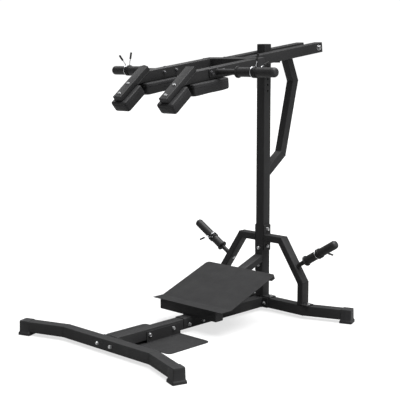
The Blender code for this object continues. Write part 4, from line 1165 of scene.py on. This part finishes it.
def build_upper_horns():
    y, z = UPPER_HORN_AT
    for side, sign in SIDES.items():
        root = LEVER @ Matrix.Translation((sign * (LEVER_HALF_WIDTH + GAP), y, z))
        root = root @ Matrix.Rotation(sign * QUARTER, 4, "Y")

        def seat(weld, horn, root=root):
            add_slab(horn, root, 0.044, 0.125, PLATE, 0.006)
            add_ring_bead(weld, root, UPPER_HORN["post"] + 0.0005, PLATE)

        horn_pieces("upper", side, root, UPPER_HORN, "lever", seat)
        collar("upper_" + side, root, sign, "collar_upper_" + side)
        shape = bmesh.new()
        for step in (-1, 1):
            at = (y + step * 0.046, z)
            face = sign * (LEVER_HALF_WIDTH + GAP + PLATE)
            add_bolt(shape, (face, *at), sign * RIGHT, 0.4 * step, 0.019, 0.0080, 0.0120)
            add_nut(shape, (sign * (LEVER_HALF_WIDTH - TUBE), *at), -sign * RIGHT, 0.7 * step)
        on_lever("upper_horn_%s_bolts" % side, shape, BLACK_OXIDE)


def build_storage_horns():
    slant = Vector((LEG_FOOT_X - LEG_SHOULDER_X, LEG_KNEE_Z - LEG_TOP_Z)).normalized()
    outward = Vector((-slant.y, slant.x))
    line = Vector((LEG_SHOULDER_X, LEG_TOP_Z)) + slant * (STORAGE_HORN_Z - LEG_TOP_Z) / slant.y
    seat_at = line + outward * (FLAT / 2 + GAP)
    inner = line - outward * FLAT / 2
    bolts = []
    for side, sign in SIDES.items():
        spot, out = Vector((sign * seat_at.x, MID_Y, seat_at.y)), Vector((sign * outward.x, 0, outward.y))
        root = Matrix.Translation(spot) @ Matrix.Rotation(sign * (QUARTER - STORAGE_HORN_RISE), 4, "Y")

        def seat(weld, horn, flat=facing(spot, out)):
            add_turned(horn, flat, [(0.0172, 0), (0.018, 0.0008), (0.018, 0.0032), (0.0172, 0.004)])
            add_ring_bead(weld, flat, STORAGE_HORN["post"] + 0.0008, 0.0042, 0.0018)

        horn_pieces("storage", side, root, STORAGE_HORN, "frame", seat)
        collar("storage_" + side, root, sign, "collar_storage_" + side)
        bolts.append(((sign * inner.x, MID_Y, inner.y), -out))
    fasteners("storage_horn_bolts", bolts)


def paint_carried_nodes():
    """The CAD nodes that are shown as they are."""
    for side in SIDES:
        materials = frame["nodes"]["pivot_bush_" + side].data.materials
        materials.clear()
        materials.append(BRONZE)


# ---------------------------------------------------------------- stage, light and camera
def build_stage():
    """A pale floor, as white to the camera as the photo studio's, but a dull grey to the light."""
    mesh = bpy.data.meshes.new("studio_floor")
    made(bmesh.ops.create_grid, x_segments=8, y_segments=8, size=30).to_mesh(mesh)
    floor = bpy.data.objects.new("studio_floor", mesh)
    floor.location = (0, 0, -0.0005)
    material, tree, shader = shader_tree("pale_floor", (0.26, 0.26, 0.26), 0.7, specular=0.1)
    tone = shades(tree, noise(tree, 3.0), WHITE, (0.3, 0.255), (0.7, 0.265))
    tree.links.new(tone, shader.inputs["Base Color"])
    seen = tree.nodes.new("ShaderNodeLightPath").outputs["Is Camera Ray"]
    glow = tree.nodes.new("ShaderNodeMath")
    glow.operation = "MULTIPLY"
    glow.inputs[1].default_value = 0.70
    tree.links.new(seen, glow.inputs[0])
    shader.inputs["Emission Color"].default_value = (1, 1, 1, 1)
    tree.links.new(glow.outputs["Value"], shader.inputs["Emission Strength"])
    mesh.materials.append(material)
    bpy.context.scene.collection.objects.link(floor)


def add_light(name, kind, power, location=(0, 0, 0)):
    light = bpy.data.lights.new(name, kind)
    light.energy = power
    obj = bpy.data.objects.new(name, light)
    obj.location = location
    bpy.context.scene.collection.objects.link(obj)
    return obj


def add_softbox(name, location, target, size, power):
    obj = add_light(name, "AREA", power, location)
    obj.data.shape = "RECTANGLE"
    obj.data.size, obj.data.size_y = size
    obj.rotation_euler = (Vector(target) - Vector(location)).to_track_quat("-Z", "Y").to_euler()


def build_light():
    overhead = add_light("overhead_light", "SUN", 7.0)
    overhead.data.angle = math.radians(60)
    overhead.rotation_euler = (math.radians(-8), math.radians(10), 0)
    add_softbox("right_softbox", (3.6, 0.6, 2.1), (0, 0, 0.8), (2.2, 2.6), 40)
    add_softbox("front_softbox", (-1.6, -4.2, 2.4), (0, 0, 0.8), (2.4, 2.0), 10)
    add_softbox("left_softbox", (-2.2, 0.7, 3.4), (0, -0.2, 1.4), (2.2, 2.2), 20)
    world = bpy.data.worlds.new("studio")
    world.use_nodes = True
    bpy.context.scene.world = world
    tree = world.node_tree
    background = tree.nodes["Background"]
    background.inputs["Color"].default_value = (1, 1, 1, 1)
    seen = tree.nodes.new("ShaderNodeLightPath").outputs["Is Camera Ray"]
    inputs = {"Value": seen, "To Min": 0.15, "To Max": 1.05}
    level = add_node(tree, "MapRange", inputs).outputs["Result"]
    tree.links.new(level, background.inputs["Strength"])


def build_camera():
    azimuth, pitch, roll = (math.radians(value) for value in (43.938, 8.5606, -0.1461))
    facing_y, side_x = math.cos(azimuth), math.sin(azimuth)
    back = Vector((side_x * math.cos(pitch), -facing_y * math.cos(pitch), math.sin(pitch)))
    right = Vector((facing_y, side_x, 0))
    up = back.cross(right)
    tilted_right = right * math.cos(roll) + up * math.sin(roll)
    tilted_up = up * math.cos(roll) - right * math.sin(roll)
    camera_data = bpy.data.cameras.new("camera")
    camera_data.lens = 86.686
    camera_data.sensor_width = 36
    camera = bpy.data.objects.new("camera", camera_data)
    rotation = Matrix((tilted_right, tilted_up, back)).transposed().to_4x4()
    camera.matrix_world = Matrix.Translation((3.6745, -3.8922, 1.5187)) @ rotation
    bpy.context.scene.collection.objects.link(camera)
    bpy.context.scene.camera = camera
    bpy.context.scene.view_settings.view_transform = "Standard"


build_camera()
build_stage()
build_light()
build_floor_frame()
build_floor_plate()
build_mast()
build_legs()
build_brace_and_top_arm()
build_arm_bracket()
build_foot_plate()
build_plate_support()
build_toe_tube()
build_lever()
build_lever_bolts()
build_pads()
build_upper_horns()
build_storage_horns()
paint_carried_nodes()
